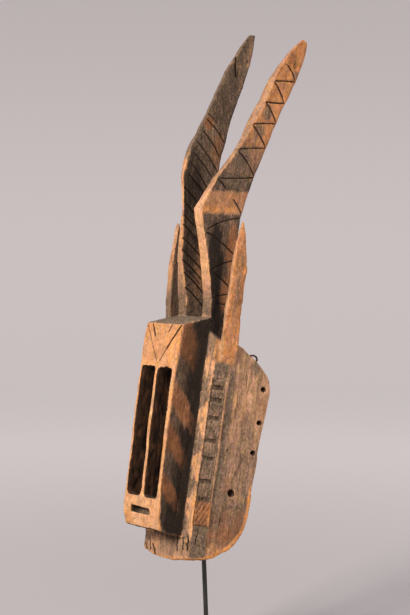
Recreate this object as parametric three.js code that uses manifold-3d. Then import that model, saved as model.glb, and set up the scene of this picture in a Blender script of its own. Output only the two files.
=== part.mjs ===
// A carved wooden antelope mask with two tall horns, held up by a dark steel rod on a square base plate.
// Millimetres, +Z up. The origin is the centre of the base plate's underside, and the mask faces -Y.
//
// The mask is worked out in a frame of its own, in which z runs up along the face, y runs back from the
// face plate and x runs across. That frame leans back on the rod by LEAN.
import * as THREE from "three";
import { mergeVertices } from "three/addons/utils/BufferGeometryUtils.js";
import Module from "manifold-3d";

const wasm = await Module();
wasm.setup();

// Stand
const LEAN = THREE.MathUtils.degToRad(10.2);
const MASK_AT = [0, -75.45, 195];
const BASE = { side: 180, height: 12, chamfer: 1.5 };
const ROD_LEAN = THREE.MathUtils.degToRad(2.81);
const ROD = { radius: 3, foot: 3.3, top: 428, barHalf: 24, sides: 16 };
const GAP = 0.4;

// Shell behind the face plate. The plan corners are x, y, and the edges seen from the side are y, z.
const SHELL = { bottom: -33, front: 262, plateHalf: 37, wall: 12, reach: 110 };
const PLAN_HEIGHTS = [-60, 300];
const SHOULDER = { head: 36, foot: 46, rim: 251, top: 270 };
const STRIP_EDGE = [47, 8];
const BAND_EDGE = [57, 25];
const RIM_EDGE = [74, 95];
const CHIN_FRONT = [[0, 20], [1.5, -8], [4.5, SHELL.bottom]];
const CHIN_UNDER = [
  [22, -30], [35, -23.5], [45, -18.8], [58, -10.2], [68, 1.2], [75, 15], [78.5, 30], [79.5, 46],
];
const RIM_BACK = [[80, 84], [81, 124], [84.5, 165], [87, 193]];
const RIM_TOP = [
  [83.5, 208], [76.5, 218.5], [68.5, 226.8], [58.7, 234.6], [49.6, 240.4], [42, 245.4], [32, 249.6], [21, 251.5],
];

// The chin seen from the front, as z, x: rounded, and a little fuller on the right
const CHIN_OUTLINE = [
  [-20, -62], [-25, -48], [-27.5, -38], [-31, -25], [-33, -8], [-32.8, 6], [-30.5, 25], [-24.5, 58], [-15, 90],
];

// Hollow behind the plate, its plan as x, y and its side as y, z, and the notch that lets the rod in
const HOLLOW_FRONT = SHELL.wall + 1;
const HOLLOW_PLAN = [[38, HOLLOW_FRONT], [46, 28], [60, 90], [62, 100]];
const HOLLOW_SIDE = [
  [HOLLOW_FRONT, -18], [30, -10], [44, -2], [56, 10], [62, 22], [66, 36], [100, 42], [100, 190],
  [82, 196], [76, 203.5], [70, 209], [60, 217], [45, 229], [28, 240], [HOLLOW_FRONT, 244],
];
const NECK_NOTCH = { half: 34, front: 46, shoulder: 84, pull: 4, low: -60, high: 46 };

// Notched bands on the slanting facets
const BAND = { low: 17, high: 202, raise: 3.2, sunk: 3, inset: 1, notchHeight: 5.5, notchShare: 0.78 };
const NOTCH_BAR = { past: 4, depth: 10, floor: 0.2 };
const BAND_NOTCHES = [49, 72, 101, 123.5, 152, 175, 191];

// Face box. Its front and its cavity are drawn from the side, as y, z.
const BOX = { half: 36, cavityHalf: 29.5 };
const BOX_FRONT = [
  [-34.8, 4.5], [-40.3, 22], [-43.6, 52], [-45, 84], [-46.2, 134], [-47, 200], [-46.6, 236], [-45.3, 263],
];
const BOX_TOP = [[16, 266], [2, 279]];
const BOX_FOOT = [[-0.5, 0], [16, 0]];
const BOX_CAVITY = [
  [-27, 34], [-30.5, 120], [-31.5, 200], [-30, 238], [HOLLOW_FRONT, 244], [20, 241], [20, 26],
];
const SLOT = { inner: 3.4, outer: 30.6, low: 43, high: 207, corner: 6, front: -70, back: -20 };
const MOUTH = {
  x: -2.6, z: 25.4, length: 37.4, height: 8.6, smallEnd: 0.8, bulge: 2, floor: -31,
  tilt: THREE.MathUtils.degToRad(0.8),
};

// Forehead lines, each as x, z at its upper end and x, z at its lower end
const FOREHEAD_STROKES = [
  [35.5, 263, 1.5, 213],
  [-34, 262, -1.5, 213],
  [-22, 262, -13.5, 245.5],
  [16.5, 263, 12, 252.5],
];

// Rim holes, as y, z and radius, on both sides
const RIM_HOLES = [
  [76, 197, 3.1],
  [76.5, 154, 3.3],
  [73, 115, 3.1],
  [50, 61, 4.6],
];

const RIM_HOLE_REACH = { middle: 68, length: 50, sides: 12 };

// Incised lines are V grooves, cut by a square bar sunk to its diagonal
const GROOVE_BAR = 1.7;
const GROOVE_OVERRUN = 1.2;

// Tie loop over the rim, a ring in a slanting plane
const LOOP = { apex: [63, 61, 237.4], reach: 11.5, half: 7.5, shoulder: 3, cord: 1.1, hole: 1.8 };
const LOOP_ALONG = [0, 0.89, -0.45];
const LOOP_OUT = [0.62, 0.35, 0.7];

// Horns. Each station has the front and the rear edge as y, z. The two lists of a horn meet at its elbow.
// edge is the width of the front edge, and lead is how far its inner corner stands ahead of the outer one.
const HORN_SPREAD = [[236, 24.5], [420, 28], [668, 53]];
const HORN_THICK = [[236, 19.5], [420, 18], [560, 15], [668, 10.5]];
const HORN_STEPS = 2;
const LINE_SHARES = [0.03, 0.38, 0.95];
const MID_SHARE = 0.38;
const REAR_SHARE = 0.92;
const REAR_CHAMFER = { most: 3, share: 0.5 };
const RIGHT_HORN = {
  side: 1,
  lower: [
    { front: [5, 240], rear: [44, 234] },
    { front: [-1, 298], rear: [38, 300] },
    { front: [-19, 356], rear: [33, 358] },
    { front: [-41, 412], rear: [29, 411] },
  ],
  upper: [
    { front: [-41, 412], rear: [29, 411] },
    { front: [-24, 456], rear: [38.5, 464] },
    { front: [0.5, 495], rear: [48, 504] },
    { front: [17, 533], rear: [57, 540] },
    { front: [31, 566], rear: [67, 571] },
    { front: [40, 598], rear: [78, 603] },
    { front: [46, 619], rear: [85.5, 633] },
    { front: [60, 642], rear: [86.5, 649] },
    { front: [75, 660.5], rear: [84, 658] },
  ],
  edge: [
    [236, 19.5], [412, 16.5], [430, 11], [460, 8.5], [495, 8], [515, 11], [533, 14.5], [566, 14.5], [597, 13.5],
    [612, 10.5], [640, 6], [668, 4],
  ],
  lead: [[515, 0], [533, 1], [575, 3], [597, 4], [612, 1.5], [640, 0]],
  bevelOutside: false,
  dish: [[236, 2.5], [330, 3.2], [400, 1.5], [440, 0.4], [668, 0.2]],
};
const LEFT_HORN = {
  side: -1,
  lower: [
    { front: [5, 240], rear: [44, 234] },
    { front: [-1.5, 300], rear: [38, 300] },
    { front: [-17, 354], rear: [33, 356] },
    { front: [-24, 414], rear: [29, 405] },
    { front: [-30.5, 460], rear: [28, 436] },
  ],
  upper: [
    { front: [-30.5, 460], rear: [28, 436] },
    { front: [-17, 505], rear: [38, 500] },
    { front: [3.5, 547], rear: [49, 547] },
    { front: [20, 585], rear: [62, 587] },
    { front: [36.5, 621], rear: [74.5, 623] },
    { front: [51.5, 643], rear: [81.5, 650] },
    { front: [72, 678.3], rear: [84.5, 680.6] },
  ],
  edge: [
    [236, 17], [300, 17.5], [340, 13.5], [354, 10], [400, 4.5], [448, 5], [465, 8], [505, 7], [560, 5],
    [620, 3.5], [668, 4],
  ],
  lead: [[236, 0]],
  bevelOutside: true,
  dish: [[236, 1.2], [668, 0.6]],
};

// Right horn: rungs across the outer face, as the height at the front edge and at the rear edge.
// A diagonal falls from the front of each rung to the rear of the next one.
const RUNGS = [
  [611, 622], [595, 602], [566, 571], [533, 542], [496, 508],
  [455, 468], [387, 411], [335, 358], [303, 313],
];

// Left horn: slanting grooves down the inner face at an even pitch
const SLANTS = { top: 543, pitch: 16.3, count: 15, fallTop: 39, fallBottom: 26 };

// Ears. Each station has a height, the front and rear points in plan, and the thickness.
const EAR_STATIONS = [
  { z: 204, front: [41.5, 19], rear: [50.5, 34], thick: 8 },
  { z: 232, front: [50.5, 13], rear: [59, 31], thick: 10 },
  { z: 255, front: [54, 7.5], rear: [62, 28.5], thick: 10 },
  { z: 290, front: [57.2, 5], rear: [63.4, 25], thick: 9 },
  { z: 344, front: [58.6, 4], rear: [64, 24.5], thick: 8.5 },
  { z: 374, front: [60, 5], rear: [63.8, 18], thick: 7.5 },
  { z: 394, front: [61.5, 6.2], rear: [63.6, 12.5], thick: 7 },
  { z: 403.5, front: [62.6, 7.4], rear: [63.2, 9.6], thick: 4.5 },
];
const EAR_REAR_SHARES = { outer: 0.9, inner: 0.5 };
const LEFT_EAR = {
  shift: [-1.5, -1.5], from: 232, over: 60,
  bow: [[290, 0], [310, 1.5], [344, 3], [374, 2], [403.5, 0]],
  rearReach: [[300, 4], [344, 0]],
};
const ARC_STEPS = 6;

// Solids from geometries, and back

function solid(geometry) {
  geometry.deleteAttribute("normal");
  geometry.deleteAttribute("uv");
  const merged = mergeVertices(geometry, 1e-4);
  const mesh = new wasm.Mesh({
    numProp: 3,
    vertProperties: new Float32Array(merged.attributes.position.array),
    triVerts: new Uint32Array(merged.index.array),
  });
  return new wasm.Manifold(mesh);
}

function geometryOf(body) {
  const mesh = body.getMesh();
  const geometry = new THREE.BufferGeometry();
  geometry.setAttribute("position", new THREE.BufferAttribute(mesh.vertProperties, 3));
  geometry.setIndex(new THREE.BufferAttribute(mesh.triVerts, 1));
  geometry.computeVertexNormals();
  return geometry;
}

function prism(shape, from, to, basis) {
  const settings = { depth: to - from, bevelEnabled: false, curveSegments: ARC_STEPS };
  const geometry = new THREE.ExtrudeGeometry(shape, settings);
  geometry.translate(0, 0, from);
  if (basis) geometry.applyMatrix4(basis);
  return solid(geometry);
}

// A shape drawn in y and z, swept along x
const ALONG_X = new THREE.Matrix4().makeBasis(
  new THREE.Vector3(0, 1, 0), new THREE.Vector3(0, 0, 1), new THREE.Vector3(1, 0, 0));

// A shape drawn in z and x, swept along y
const ALONG_Y = new THREE.Matrix4().makeBasis(
  new THREE.Vector3(0, 0, 1), new THREE.Vector3(1, 0, 0), new THREE.Vector3(0, 1, 0));

function flat(points) {
  return points.map(([u, v]) => new THREE.Vector2(u, v));
}

function polygon(points) {
  return new THREE.Shape(flat(points));
}

// The right half of a plan and its mirror image, as one closed outline
function bothHalves(half) {
  const mirrored = half.map(([x, y]) => [-x, y]).reverse();
  return polygon([...half, ...mirrored]);
}

// A closed body through rings of the same number of points, each ring anticlockwise seen from above
function loft(rings) {
  const count = rings[0].length;
  const points = rings.flat();
  const faces = [];
  for (let ring = 0; ring + 1 < rings.length; ring++) {
    for (let i = 0; i < count; i++) {
      const a = ring * count + i;
      const b = ring * count + ((i + 1) % count);
      faces.push(a, b, b + count, a, b + count, a + count);
    }
  }
  const last = (rings.length - 1) * count;
  for (let i = 1; i + 1 < count; i++) {
    faces.push(0, i + 1, i);
    faces.push(last, last + i, last + i + 1);
  }
  const geometry = new THREE.BufferGeometry().setFromPoints(points);
  geometry.setIndex(faces);
  return solid(geometry);
}

// A value read from a short list of height and value pairs
function valueAt(pairs, z) {
  if (z <= pairs[0][0]) return pairs[0][1];
  for (let i = 1; i < pairs.length; i++) {
    if (z <= pairs[i][0]) {
      const share = (z - pairs[i - 1][0]) / (pairs[i][0] - pairs[i - 1][0]);
      return THREE.MathUtils.lerp(pairs[i - 1][1], pairs[i][1], share);
    }
  }
  return pairs[pairs.length - 1][1];
}

// Shell: a plan section and a side profile that cut each other, then the same for the hollow

function shellSide() {
  const shape = new THREE.Shape();
  shape.moveTo(...CHIN_FRONT[0]);
  for (const point of CHIN_FRONT.slice(1)) shape.lineTo(...point);
  for (const edge of [CHIN_UNDER, RIM_BACK, RIM_TOP]) shape.splineThru(flat(edge));
  shape.lineTo(0, SHELL.front);
  return shape;
}

// Outline from the front: sloping shoulders at the top and the rounded chin below
function frontOutline() {
  const wide = CHIN_OUTLINE[CHIN_OUTLINE.length - 1][1];
  const shape = new THREE.Shape();
  shape.moveTo(SHOULDER.rim, wide);
  shape.lineTo(SHOULDER.rim, SHOULDER.foot);
  shape.lineTo(SHOULDER.top, SHOULDER.head);
  shape.lineTo(SHOULDER.top, -SHOULDER.head);
  shape.lineTo(SHOULDER.rim, -SHOULDER.foot);
  shape.lineTo(SHOULDER.rim, -wide);
  shape.lineTo(CHIN_OUTLINE[0][0], -wide);
  shape.splineThru(flat(CHIN_OUTLINE));
  return shape;
}

function neckNotch() {
  const { half, front, shoulder, pull, low, high } = NECK_NOTCH;
  const shape = new THREE.Shape();
  shape.moveTo(half, SHELL.reach);
  shape.lineTo(half, shoulder);
  shape.quadraticCurveTo(half - pull, front, 0, front);
  shape.quadraticCurveTo(pull - half, front, -half, shoulder);
  shape.lineTo(-half, SHELL.reach);
  return prism(shape, low, high);
}

function shell() {
  const plan = prism(bothHalves([[SHELL.plateHalf, 0], STRIP_EDGE, BAND_EDGE, RIM_EDGE]), ...PLAN_HEIGHTS);
  const side = prism(shellSide(), -SHELL.reach, SHELL.reach, ALONG_X);
  const front = prism(frontOutline(), -SHELL.wall, SHELL.reach, ALONG_Y);
  return plan.intersect(side).intersect(front);
}

function hollow() {
  const plan = prism(bothHalves(HOLLOW_PLAN), ...PLAN_HEIGHTS);
  const side = prism(polygon(HOLLOW_SIDE), -SHELL.reach, SHELL.reach, ALONG_X);
  return plan.intersect(side).add(neckNotch());
}

// Face box, its cavity, the two slots and the mouth

function faceBox() {
  const shape = new THREE.Shape();
  shape.moveTo(...BOX_FOOT[1]);
  for (const point of BOX_TOP) shape.lineTo(...point);
  shape.lineTo(...BOX_FRONT[BOX_FRONT.length - 1]);
  shape.splineThru(flat(BOX_FRONT.slice(0, -1).reverse()));
  shape.lineTo(...BOX_FOOT[0]);
  return prism(shape, -BOX.half, BOX.half, ALONG_X);
}

function boxCavity() {
  return prism(polygon(BOX_CAVITY), -BOX.cavityHalf, BOX.cavityHalf, ALONG_X);
}

function eyeSlot(side) {
  const { inner, outer, low, high, corner, front, back } = SLOT;
  const shape = new THREE.Shape();
  shape.moveTo(low, inner + corner);
  shape.quadraticCurveTo(low, inner, low + corner, inner);
  shape.lineTo(high - corner, inner);
  shape.quadraticCurveTo(high, inner, high, inner + corner);
  shape.lineTo(high, outer - corner);
  shape.quadraticCurveTo(high, outer, high - corner, outer);
  shape.lineTo(low + corner, outer);
  shape.quadraticCurveTo(low, outer, low, outer - corner);
  const cut = prism(shape, front, back, ALONG_Y);
  return side > 0 ? cut : cut.mirror([1, 0, 0]);
}

function mouth() {
  const shape = new THREE.Shape();
  const half = MOUTH.length / 2;
  const left = MOUTH.height / 2;
  const right = left * MOUTH.smallEnd;
  shape.moveTo(-left, -half);
  shape.quadraticCurveTo(0, -half - MOUTH.bulge, left, -half);
  shape.lineTo(right, half);
  shape.quadraticCurveTo(0, half + MOUTH.bulge, -right, half);
  const cutter = new THREE.Matrix4().makeTranslation(MOUTH.x, 0, MOUTH.z)
    .multiply(new THREE.Matrix4().makeRotationY(MOUTH.tilt)).multiply(ALONG_Y);
  return prism(shape, SLOT.front, MOUTH.floor, cutter);
}

// Notched bands: a raised band on the slanting facet, cut into blocks from its front edge

function bandFrame(side) {
  const along = new THREE.Vector3(BAND_EDGE[0] - STRIP_EDGE[0], BAND_EDGE[1] - STRIP_EDGE[1], 0);
  const width = along.length();
  along.normalize();
  const out = new THREE.Vector3(along.y, -along.x, 0);
  const up = new THREE.Vector3(0, 0, 1);
  const frame = new THREE.Matrix4().makeBasis(along, up, out);
  frame.setPosition(STRIP_EDGE[0], STRIP_EDGE[1], 0);
  if (side < 0) frame.premultiply(new THREE.Matrix4().makeScale(-1, 1, 1));
  return { frame, width };
}

function slab(width, height, depth, centre, frame) {
  const geometry = new THREE.BoxGeometry(width, height, depth);
  geometry.translate(...centre);
  geometry.applyMatrix4(frame);
  if (frame.determinant() < 0) {
    geometry.setIndex(Array.from(geometry.index.array).reverse());
  }
  return solid(geometry);
}

function band(side) {
  const { frame, width } = bandFrame(side);
  const { low, high, raise, sunk, inset } = BAND;
  const centre = [width / 2, (high + low) / 2, (raise - sunk) / 2];
  return slab(width - inset, high - low, raise + sunk, centre, frame);
}

function bandNotch(side, z) {
  const { frame, width } = bandFrame(side);
  const { past, depth, floor } = NOTCH_BAR;
  const reach = width * BAND.notchShare + past;
  return slab(reach, BAND.notchHeight, depth, [reach / 2 - past, z, floor + depth / 2], frame);
}

// Horns

function hornStations(horn) {
  const stations = [];
  for (const part of [horn.lower, horn.upper]) {
    const front = new THREE.SplineCurve(part.map((station) => new THREE.Vector2(...station.front)));
    const rear = new THREE.SplineCurve(part.map((station) => new THREE.Vector2(...station.rear)));
    const steps = (part.length - 1) * HORN_STEPS;
    const first = stations.length ? 1 : 0;
    for (let i = first; i <= steps; i++) {
      stations.push({ front: front.getPoint(i / steps), rear: rear.getPoint(i / steps) });
    }
  }
  return stations;
}

// A point of the plank: share runs from the front edge to the rear edge, and x is the place across
function plankPoint(station, share, x) {
  const point = station.front.clone().lerp(station.rear, share);
  return new THREE.Vector3(x, point.x, point.y);
}

function hornRing(horn, station) {
  const z = (station.front.y + station.rear.y) / 2;
  const centre = valueAt(HORN_SPREAD, z);
  const half = valueAt(HORN_THICK, z) / 2;
  const edge = Math.min(valueAt(horn.edge, z), 2 * half);
  const dish = valueAt(horn.dish, z);
  const outer = centre + half;
  const inner = centre - half;
  const spare = 2 * half - edge;
  const rearCut = Math.min(REAR_CHAMFER.most, half * REAR_CHAMFER.share);
  const lead = valueAt(horn.lead, z) / station.front.distanceTo(station.rear);
  const outerFront = horn.bevelOutside ? outer - spare : outer;
  const innerFront = horn.bevelOutside ? inner : inner + spare;
  const outerDish = horn.bevelOutside ? 0 : dish;
  const innerDish = horn.bevelOutside ? dish : 0;
  const ring = [
    plankPoint(station, 0, outerFront),
    plankPoint(station, MID_SHARE, outer - outerDish),
    plankPoint(station, REAR_SHARE, outer),
    plankPoint(station, 1, outer - rearCut),
    plankPoint(station, 1, inner + rearCut),
    plankPoint(station, REAR_SHARE, inner),
    plankPoint(station, MID_SHARE, inner + innerDish),
    plankPoint(station, -lead, innerFront),
  ];
  if (horn.side > 0) return ring;
  ring.forEach((point) => { point.x = -point.x; });
  return ring.reverse();
}

function hornBody(horn) {
  return loft(hornStations(horn).map((station) => hornRing(horn, station)));
}

// A point on the carved face of a horn, from the heights of the line's two ends and the share between them
function facePoint(horn, stations, frontZ, rearZ, share) {
  const indexAt = (edge, z) => {
    const above = stations.findIndex((station) => station[edge].y >= z);
    const low = stations[above - 1][edge].y;
    return above - 1 + (z - low) / (stations[above][edge].y - low);
  };
  const index = THREE.MathUtils.lerp(indexAt("front", frontZ), indexAt("rear", rearZ), share);
  const at = Math.min(Math.floor(index), stations.length - 2);
  const station = {
    front: stations[at].front.clone().lerp(stations[at + 1].front, index - at),
    rear: stations[at].rear.clone().lerp(stations[at + 1].rear, index - at),
  };
  const [edge, middle, rear] = hornRing(horn, station);
  return share < MID_SHARE
    ? edge.clone().lerp(middle, share / MID_SHARE)
    : middle.clone().lerp(rear, (share - MID_SHARE) / (REAR_SHARE - MID_SHARE));
}

// A V groove between two points of a face that looks along the normal
function groove(from, to, normal) {
  const along = to.clone().sub(from);
  const length = along.length() + GROOVE_OVERRUN;
  along.normalize();
  const across = new THREE.Vector3().crossVectors(normal, along).normalize();
  const out = new THREE.Vector3().crossVectors(along, across);
  const frame = new THREE.Matrix4().makeBasis(along, across, out);
  frame.setPosition(from.clone().add(to).multiplyScalar(0.5));
  const geometry = new THREE.BoxGeometry(length, GROOVE_BAR, GROOVE_BAR);
  geometry.rotateX(Math.PI / 4);
  geometry.applyMatrix4(frame);
  return solid(geometry);
}

function grooveAlong(points, normal) {
  const cuts = [];
  for (let i = 0; i + 1 < points.length; i++) cuts.push(groove(points[i], points[i + 1], normal));
  return cuts;
}

function hornLine(horn, stations, frontZ, rearZ, normal) {
  return grooveAlong(LINE_SHARES.map((share) => facePoint(horn, stations, frontZ, rearZ, share)), normal);
}

function rightHornLines() {
  const stations = hornStations(RIGHT_HORN);
  const normal = new THREE.Vector3(1, 0, 0);
  const cuts = [];
  RUNGS.forEach(([frontZ, rearZ], i) => {
    cuts.push(...hornLine(RIGHT_HORN, stations, frontZ, rearZ, normal));
    if (i + 1 < RUNGS.length) cuts.push(...hornLine(RIGHT_HORN, stations, frontZ, RUNGS[i + 1][1], normal));
  });
  return cuts;
}

function leftHornLines() {
  const stations = hornStations(LEFT_HORN);
  const normal = new THREE.Vector3(1, 0, 0);
  const cuts = [];
  for (let i = 0; i < SLANTS.count; i++) {
    const frontZ = SLANTS.top - i * SLANTS.pitch;
    const fall = THREE.MathUtils.lerp(SLANTS.fallTop, SLANTS.fallBottom, i / (SLANTS.count - 1));
    cuts.push(...hornLine(LEFT_HORN, stations, frontZ, frontZ - fall, normal));
  }
  return cuts;
}

// Forehead: a V from the top corners of the box, and two short strokes inside it

function boxFrontPoint(x, z) {
  return new THREE.Vector3(x, valueAt(BOX_FRONT.map(([y, height]) => [height, y]), z), z);
}

function foreheadLines() {
  const normal = new THREE.Vector3(0, -1, 0);
  return FOREHEAD_STROKES.flatMap(([x0, z0, x1, z1]) => {
    const points = [0, 0.5, 1].map((share) =>
      boxFrontPoint(THREE.MathUtils.lerp(x0, x1, share), THREE.MathUtils.lerp(z0, z1, share)));
    return grooveAlong(points, normal);
  });
}

// Ears

function earRing({ z, front, rear, thick }) {
  const along = new THREE.Vector2(rear[0] - front[0], rear[1] - front[1]).normalize();
  const out = new THREE.Vector2(along.y, -along.x);
  const corner = ([x, y], across) => new THREE.Vector3(x + out.x * across, y + out.y * across, z);
  const half = thick / 2;
  return [
    corner(front, half),
    corner(rear, half * EAR_REAR_SHARES.outer),
    corner(rear, -half * EAR_REAR_SHARES.inner),
    corner(front, -half),
  ];
}

function ear(side) {
  const [shiftX, shiftY] = side > 0 ? [0, 0] : LEFT_EAR.shift;
  const rings = EAR_STATIONS.map((station) => {
    const share = THREE.MathUtils.clamp((station.z - LEFT_EAR.from) / LEFT_EAR.over, 0, 1);
    const reach = side > 0 ? 0 : valueAt(LEFT_EAR.rearReach, station.z);
    const bow = side > 0 ? 0 : valueAt(LEFT_EAR.bow, station.z);
    const [x, y] = station.rear;
    const ring = earRing({ ...station, rear: [x, y + reach] });
    ring.forEach((point) => {
      point.x = side * (point.x + bow) + shiftX * share;
      point.y += shiftY * share;
    });
    return side > 0 ? ring : ring.reverse();
  });
  return loft(rings);
}

// Rim holes and the tie loop

function rimHole(side, [y, z, radius]) {
  const { middle, length, sides } = RIM_HOLE_REACH;
  const geometry = new THREE.CylinderGeometry(radius, radius, length, sides);
  geometry.rotateZ(Math.PI / 2);
  geometry.translate(side * middle, y, z);
  return solid(geometry);
}

function loopFrame() {
  const along = new THREE.Vector3(...LOOP_ALONG).normalize();
  const out = new THREE.Vector3(...LOOP_OUT);
  out.addScaledVector(along, -out.dot(along)).normalize();
  const across = new THREE.Vector3().crossVectors(along, out);
  const frame = new THREE.Matrix4().makeBasis(along, out, across);
  const centre = new THREE.Vector3(...LOOP.apex).addScaledVector(out, -LOOP.reach);
  return frame.setPosition(centre);
}

function loopRing(cord) {
  const geometry = new THREE.TorusGeometry(LOOP.half, cord, 8, 32);
  const position = geometry.attributes.position;
  const stretch = LOOP.reach - LOOP.half;
  for (let i = 0; i < position.count; i++) {
    const height = position.getY(i);
    position.setY(i, height + stretch * Math.tanh(height / LOOP.shoulder));
  }
  geometry.applyMatrix4(loopFrame());
  return solid(geometry);
}

// The mask

function mask() {
  let body = shell().add(faceBox());
  for (const side of [1, -1]) {
    body = body.add(ear(side)).add(band(side));
  }
  body = body.add(hornBody(RIGHT_HORN)).add(hornBody(LEFT_HORN));
  body = body.subtract(hollow()).subtract(boxCavity()).subtract(mouth());
  for (const side of [1, -1]) {
    body = body.subtract(eyeSlot(side));
    for (const z of BAND_NOTCHES) body = body.subtract(bandNotch(side, z));
    for (const hole of RIM_HOLES) body = body.subtract(rimHole(side, hole));
  }
  const lines = [...foreheadLines(), ...rightHornLines(), ...leftHornLines()];
  for (const line of lines) body = body.subtract(line);
  return body.subtract(loopRing(LOOP.hole));
}

// Stand

function rodBody(radius, foot, top, withBar) {
  const rod = new THREE.CylinderGeometry(radius, radius, top - foot, ROD.sides);
  rod.rotateX(Math.PI / 2);
  rod.translate(0, 0, (top + foot) / 2);
  const body = solid(rod);
  if (!withBar) return body;
  const bar = new THREE.CylinderGeometry(radius, radius, 2 * ROD.barHalf, ROD.sides);
  bar.rotateZ(Math.PI / 2);
  bar.translate(0, 0, top);
  return body.add(solid(bar));
}

function baseBody() {
  const half = BASE.side / 2 - BASE.chamfer;
  const square = polygon([[-half, -half], [half, -half], [half, half], [-half, half]]);
  const geometry = new THREE.ExtrudeGeometry(square, {
    depth: BASE.height - 2 * BASE.chamfer,
    bevelThickness: BASE.chamfer,
    bevelSize: BASE.chamfer,
    bevelSegments: 1,
  });
  geometry.translate(0, 0, BASE.chamfer);
  const degrees = THREE.MathUtils.radToDeg(ROD_LEAN);
  const socket = rodBody(ROD.radius + GAP, ROD.foot - GAP, 3 * BASE.height, false).rotate([degrees, 0, 0]);
  return solid(geometry).subtract(socket);
}

// Scene graph

function part(name, body, color, roughness, metalness) {
  const material = new THREE.MeshStandardMaterial({ color, roughness, metalness });
  const mesh = new THREE.Mesh(geometryOf(body), material);
  mesh.name = name;
  return mesh;
}

const object = new THREE.Group();

const leaning = new THREE.Group();
leaning.position.set(...MASK_AT);
leaning.rotation.x = -LEAN;
leaning.add(part("wallu_mask", mask(), 0xa8713f, 0.8, 0));
leaning.add(part("tie_loop", loopRing(LOOP.cord), 0x3a1c14, 0.85, 0));
object.add(leaning);

const rod = part("stand_rod", rodBody(ROD.radius, ROD.foot, ROD.top, true), 0x1d1b1a, 0.5, 0.8);
rod.rotation.x = ROD_LEAN;
object.add(rod);

object.add(part("stand_base", baseBody(), 0x1d1b1a, 0.5, 0.8));

export default object;
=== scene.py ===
"""A carved antelope mask on its steel rod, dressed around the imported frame."""

import logging
import math
from dataclasses import dataclass, field
from enum import Enum, IntEnum

import bmesh
import bpy
import numpy as np
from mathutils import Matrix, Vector


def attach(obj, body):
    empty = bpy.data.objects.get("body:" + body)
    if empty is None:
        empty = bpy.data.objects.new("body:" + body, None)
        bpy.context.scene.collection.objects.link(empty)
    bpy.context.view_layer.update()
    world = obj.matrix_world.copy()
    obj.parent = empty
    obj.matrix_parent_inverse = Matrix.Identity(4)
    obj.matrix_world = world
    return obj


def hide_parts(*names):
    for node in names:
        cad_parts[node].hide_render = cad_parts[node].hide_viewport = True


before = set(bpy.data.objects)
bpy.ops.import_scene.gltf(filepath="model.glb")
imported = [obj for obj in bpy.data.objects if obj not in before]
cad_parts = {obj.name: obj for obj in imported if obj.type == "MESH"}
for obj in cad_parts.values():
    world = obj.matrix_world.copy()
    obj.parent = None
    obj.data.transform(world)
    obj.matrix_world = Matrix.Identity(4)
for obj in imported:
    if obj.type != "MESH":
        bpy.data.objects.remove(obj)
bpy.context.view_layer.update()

LOG = logging.getLogger("mask")

MM = 0.001
Colour = tuple[float, float, float]
Place = tuple[float, float, float]
Spot = tuple[float, float]

# The factors, shifts and range of the hash behind all noise
CELL_PRIMES = (73856093, 19349663, 83492791)
SEED_PRIME = 2654435761
HASH_ROUNDS = ((15, 2246822519), (13, 3266489917))
LAST_SHIFT = 16
HASH_TOP = 0xFFFFF
HASH_HALF = 0x7FFFF
# How much finer and weaker each layer of noise is, and the highest sum of two layers
LAYER_STEP = 2.1
LAYER_FADE = 0.5
LAYER_PEAK = 1.6
# How far the middle of a knife cut strays in its cell, and how far its height does
FACET_JITTER = 0.42
FACET_STEP = 0.35


class Seed(IntEnum):
    """The pattern that each use of noise takes."""

    WORN_PLACES = 3
    LINE_SWAY = 7
    SWELL = 11
    FACETS = 21
    SMALL_FACETS = 27
    GRAIN_RIDGES = 31
    EDGE_CHIPS = 41
    SLOT_ENDS = 45
    CRACK_SWAY = 60
    DRIFT = 101
    STREAK = 111
    BLOTCH = 121


def eased(share: np.ndarray) -> np.ndarray:
    """A share from 0 to 1 that leaves and reaches its ends gently."""
    return share * share * (3.0 - 2.0 * share)


def ramp(values: np.ndarray, start: float, end: float) -> np.ndarray:
    """A share that rises smoothly from 0 at start to 1 at end, which may lie below start."""
    return eased(np.clip((values - start) / (end - start), 0.0, 1.0))


def between(values: np.ndarray, low: float, high: float, soft: float) -> np.ndarray:
    """A share that is 1 from low to high and falls to 0 over a soft margin outside them."""
    return ramp(values, low - soft, low) * ramp(values, high + soft, high)


def lattice_value(cell: np.ndarray, seed: int) -> np.ndarray:
    """Gives each whole-numbered cell a fixed random value.

    Args:
        cell: Cell numbers, one row of three for each point.
        seed: Picks one of many patterns.

    Returns:
        Values from -1 to 1.
    """
    primes = np.array(CELL_PRIMES, dtype=np.uint64)
    key = (cell.astype(np.int64).astype(np.uint64) * primes).sum(axis=1) + np.uint64(seed * SEED_PRIME)
    for shift, factor in HASH_ROUNDS:
        key ^= key >> np.uint64(shift)
        key *= np.uint64(factor)
    key ^= key >> np.uint64(LAST_SHIFT)
    return (key & np.uint64(HASH_TOP)).astype(float) / HASH_HALF - 1.0


def value_noise(points: np.ndarray, seed: int) -> np.ndarray:
    """Smooth noise with a wavelength of about two units.

    Args:
        points: Places, already divided by the wanted size of a lump.
        seed: Picks one of many patterns.

    Returns:
        Values from -1 to 1.
    """
    cell = np.floor(points)
    share = eased(points - cell)
    total = np.zeros(len(points))
    for corner in range(8):
        offset = np.array([corner & 1, corner >> 1 & 1, corner >> 2 & 1])
        weight = np.prod(np.where(offset == 1, share, 1.0 - share), axis=1)
        total += weight * lattice_value(cell + offset, seed)
    return total


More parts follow.
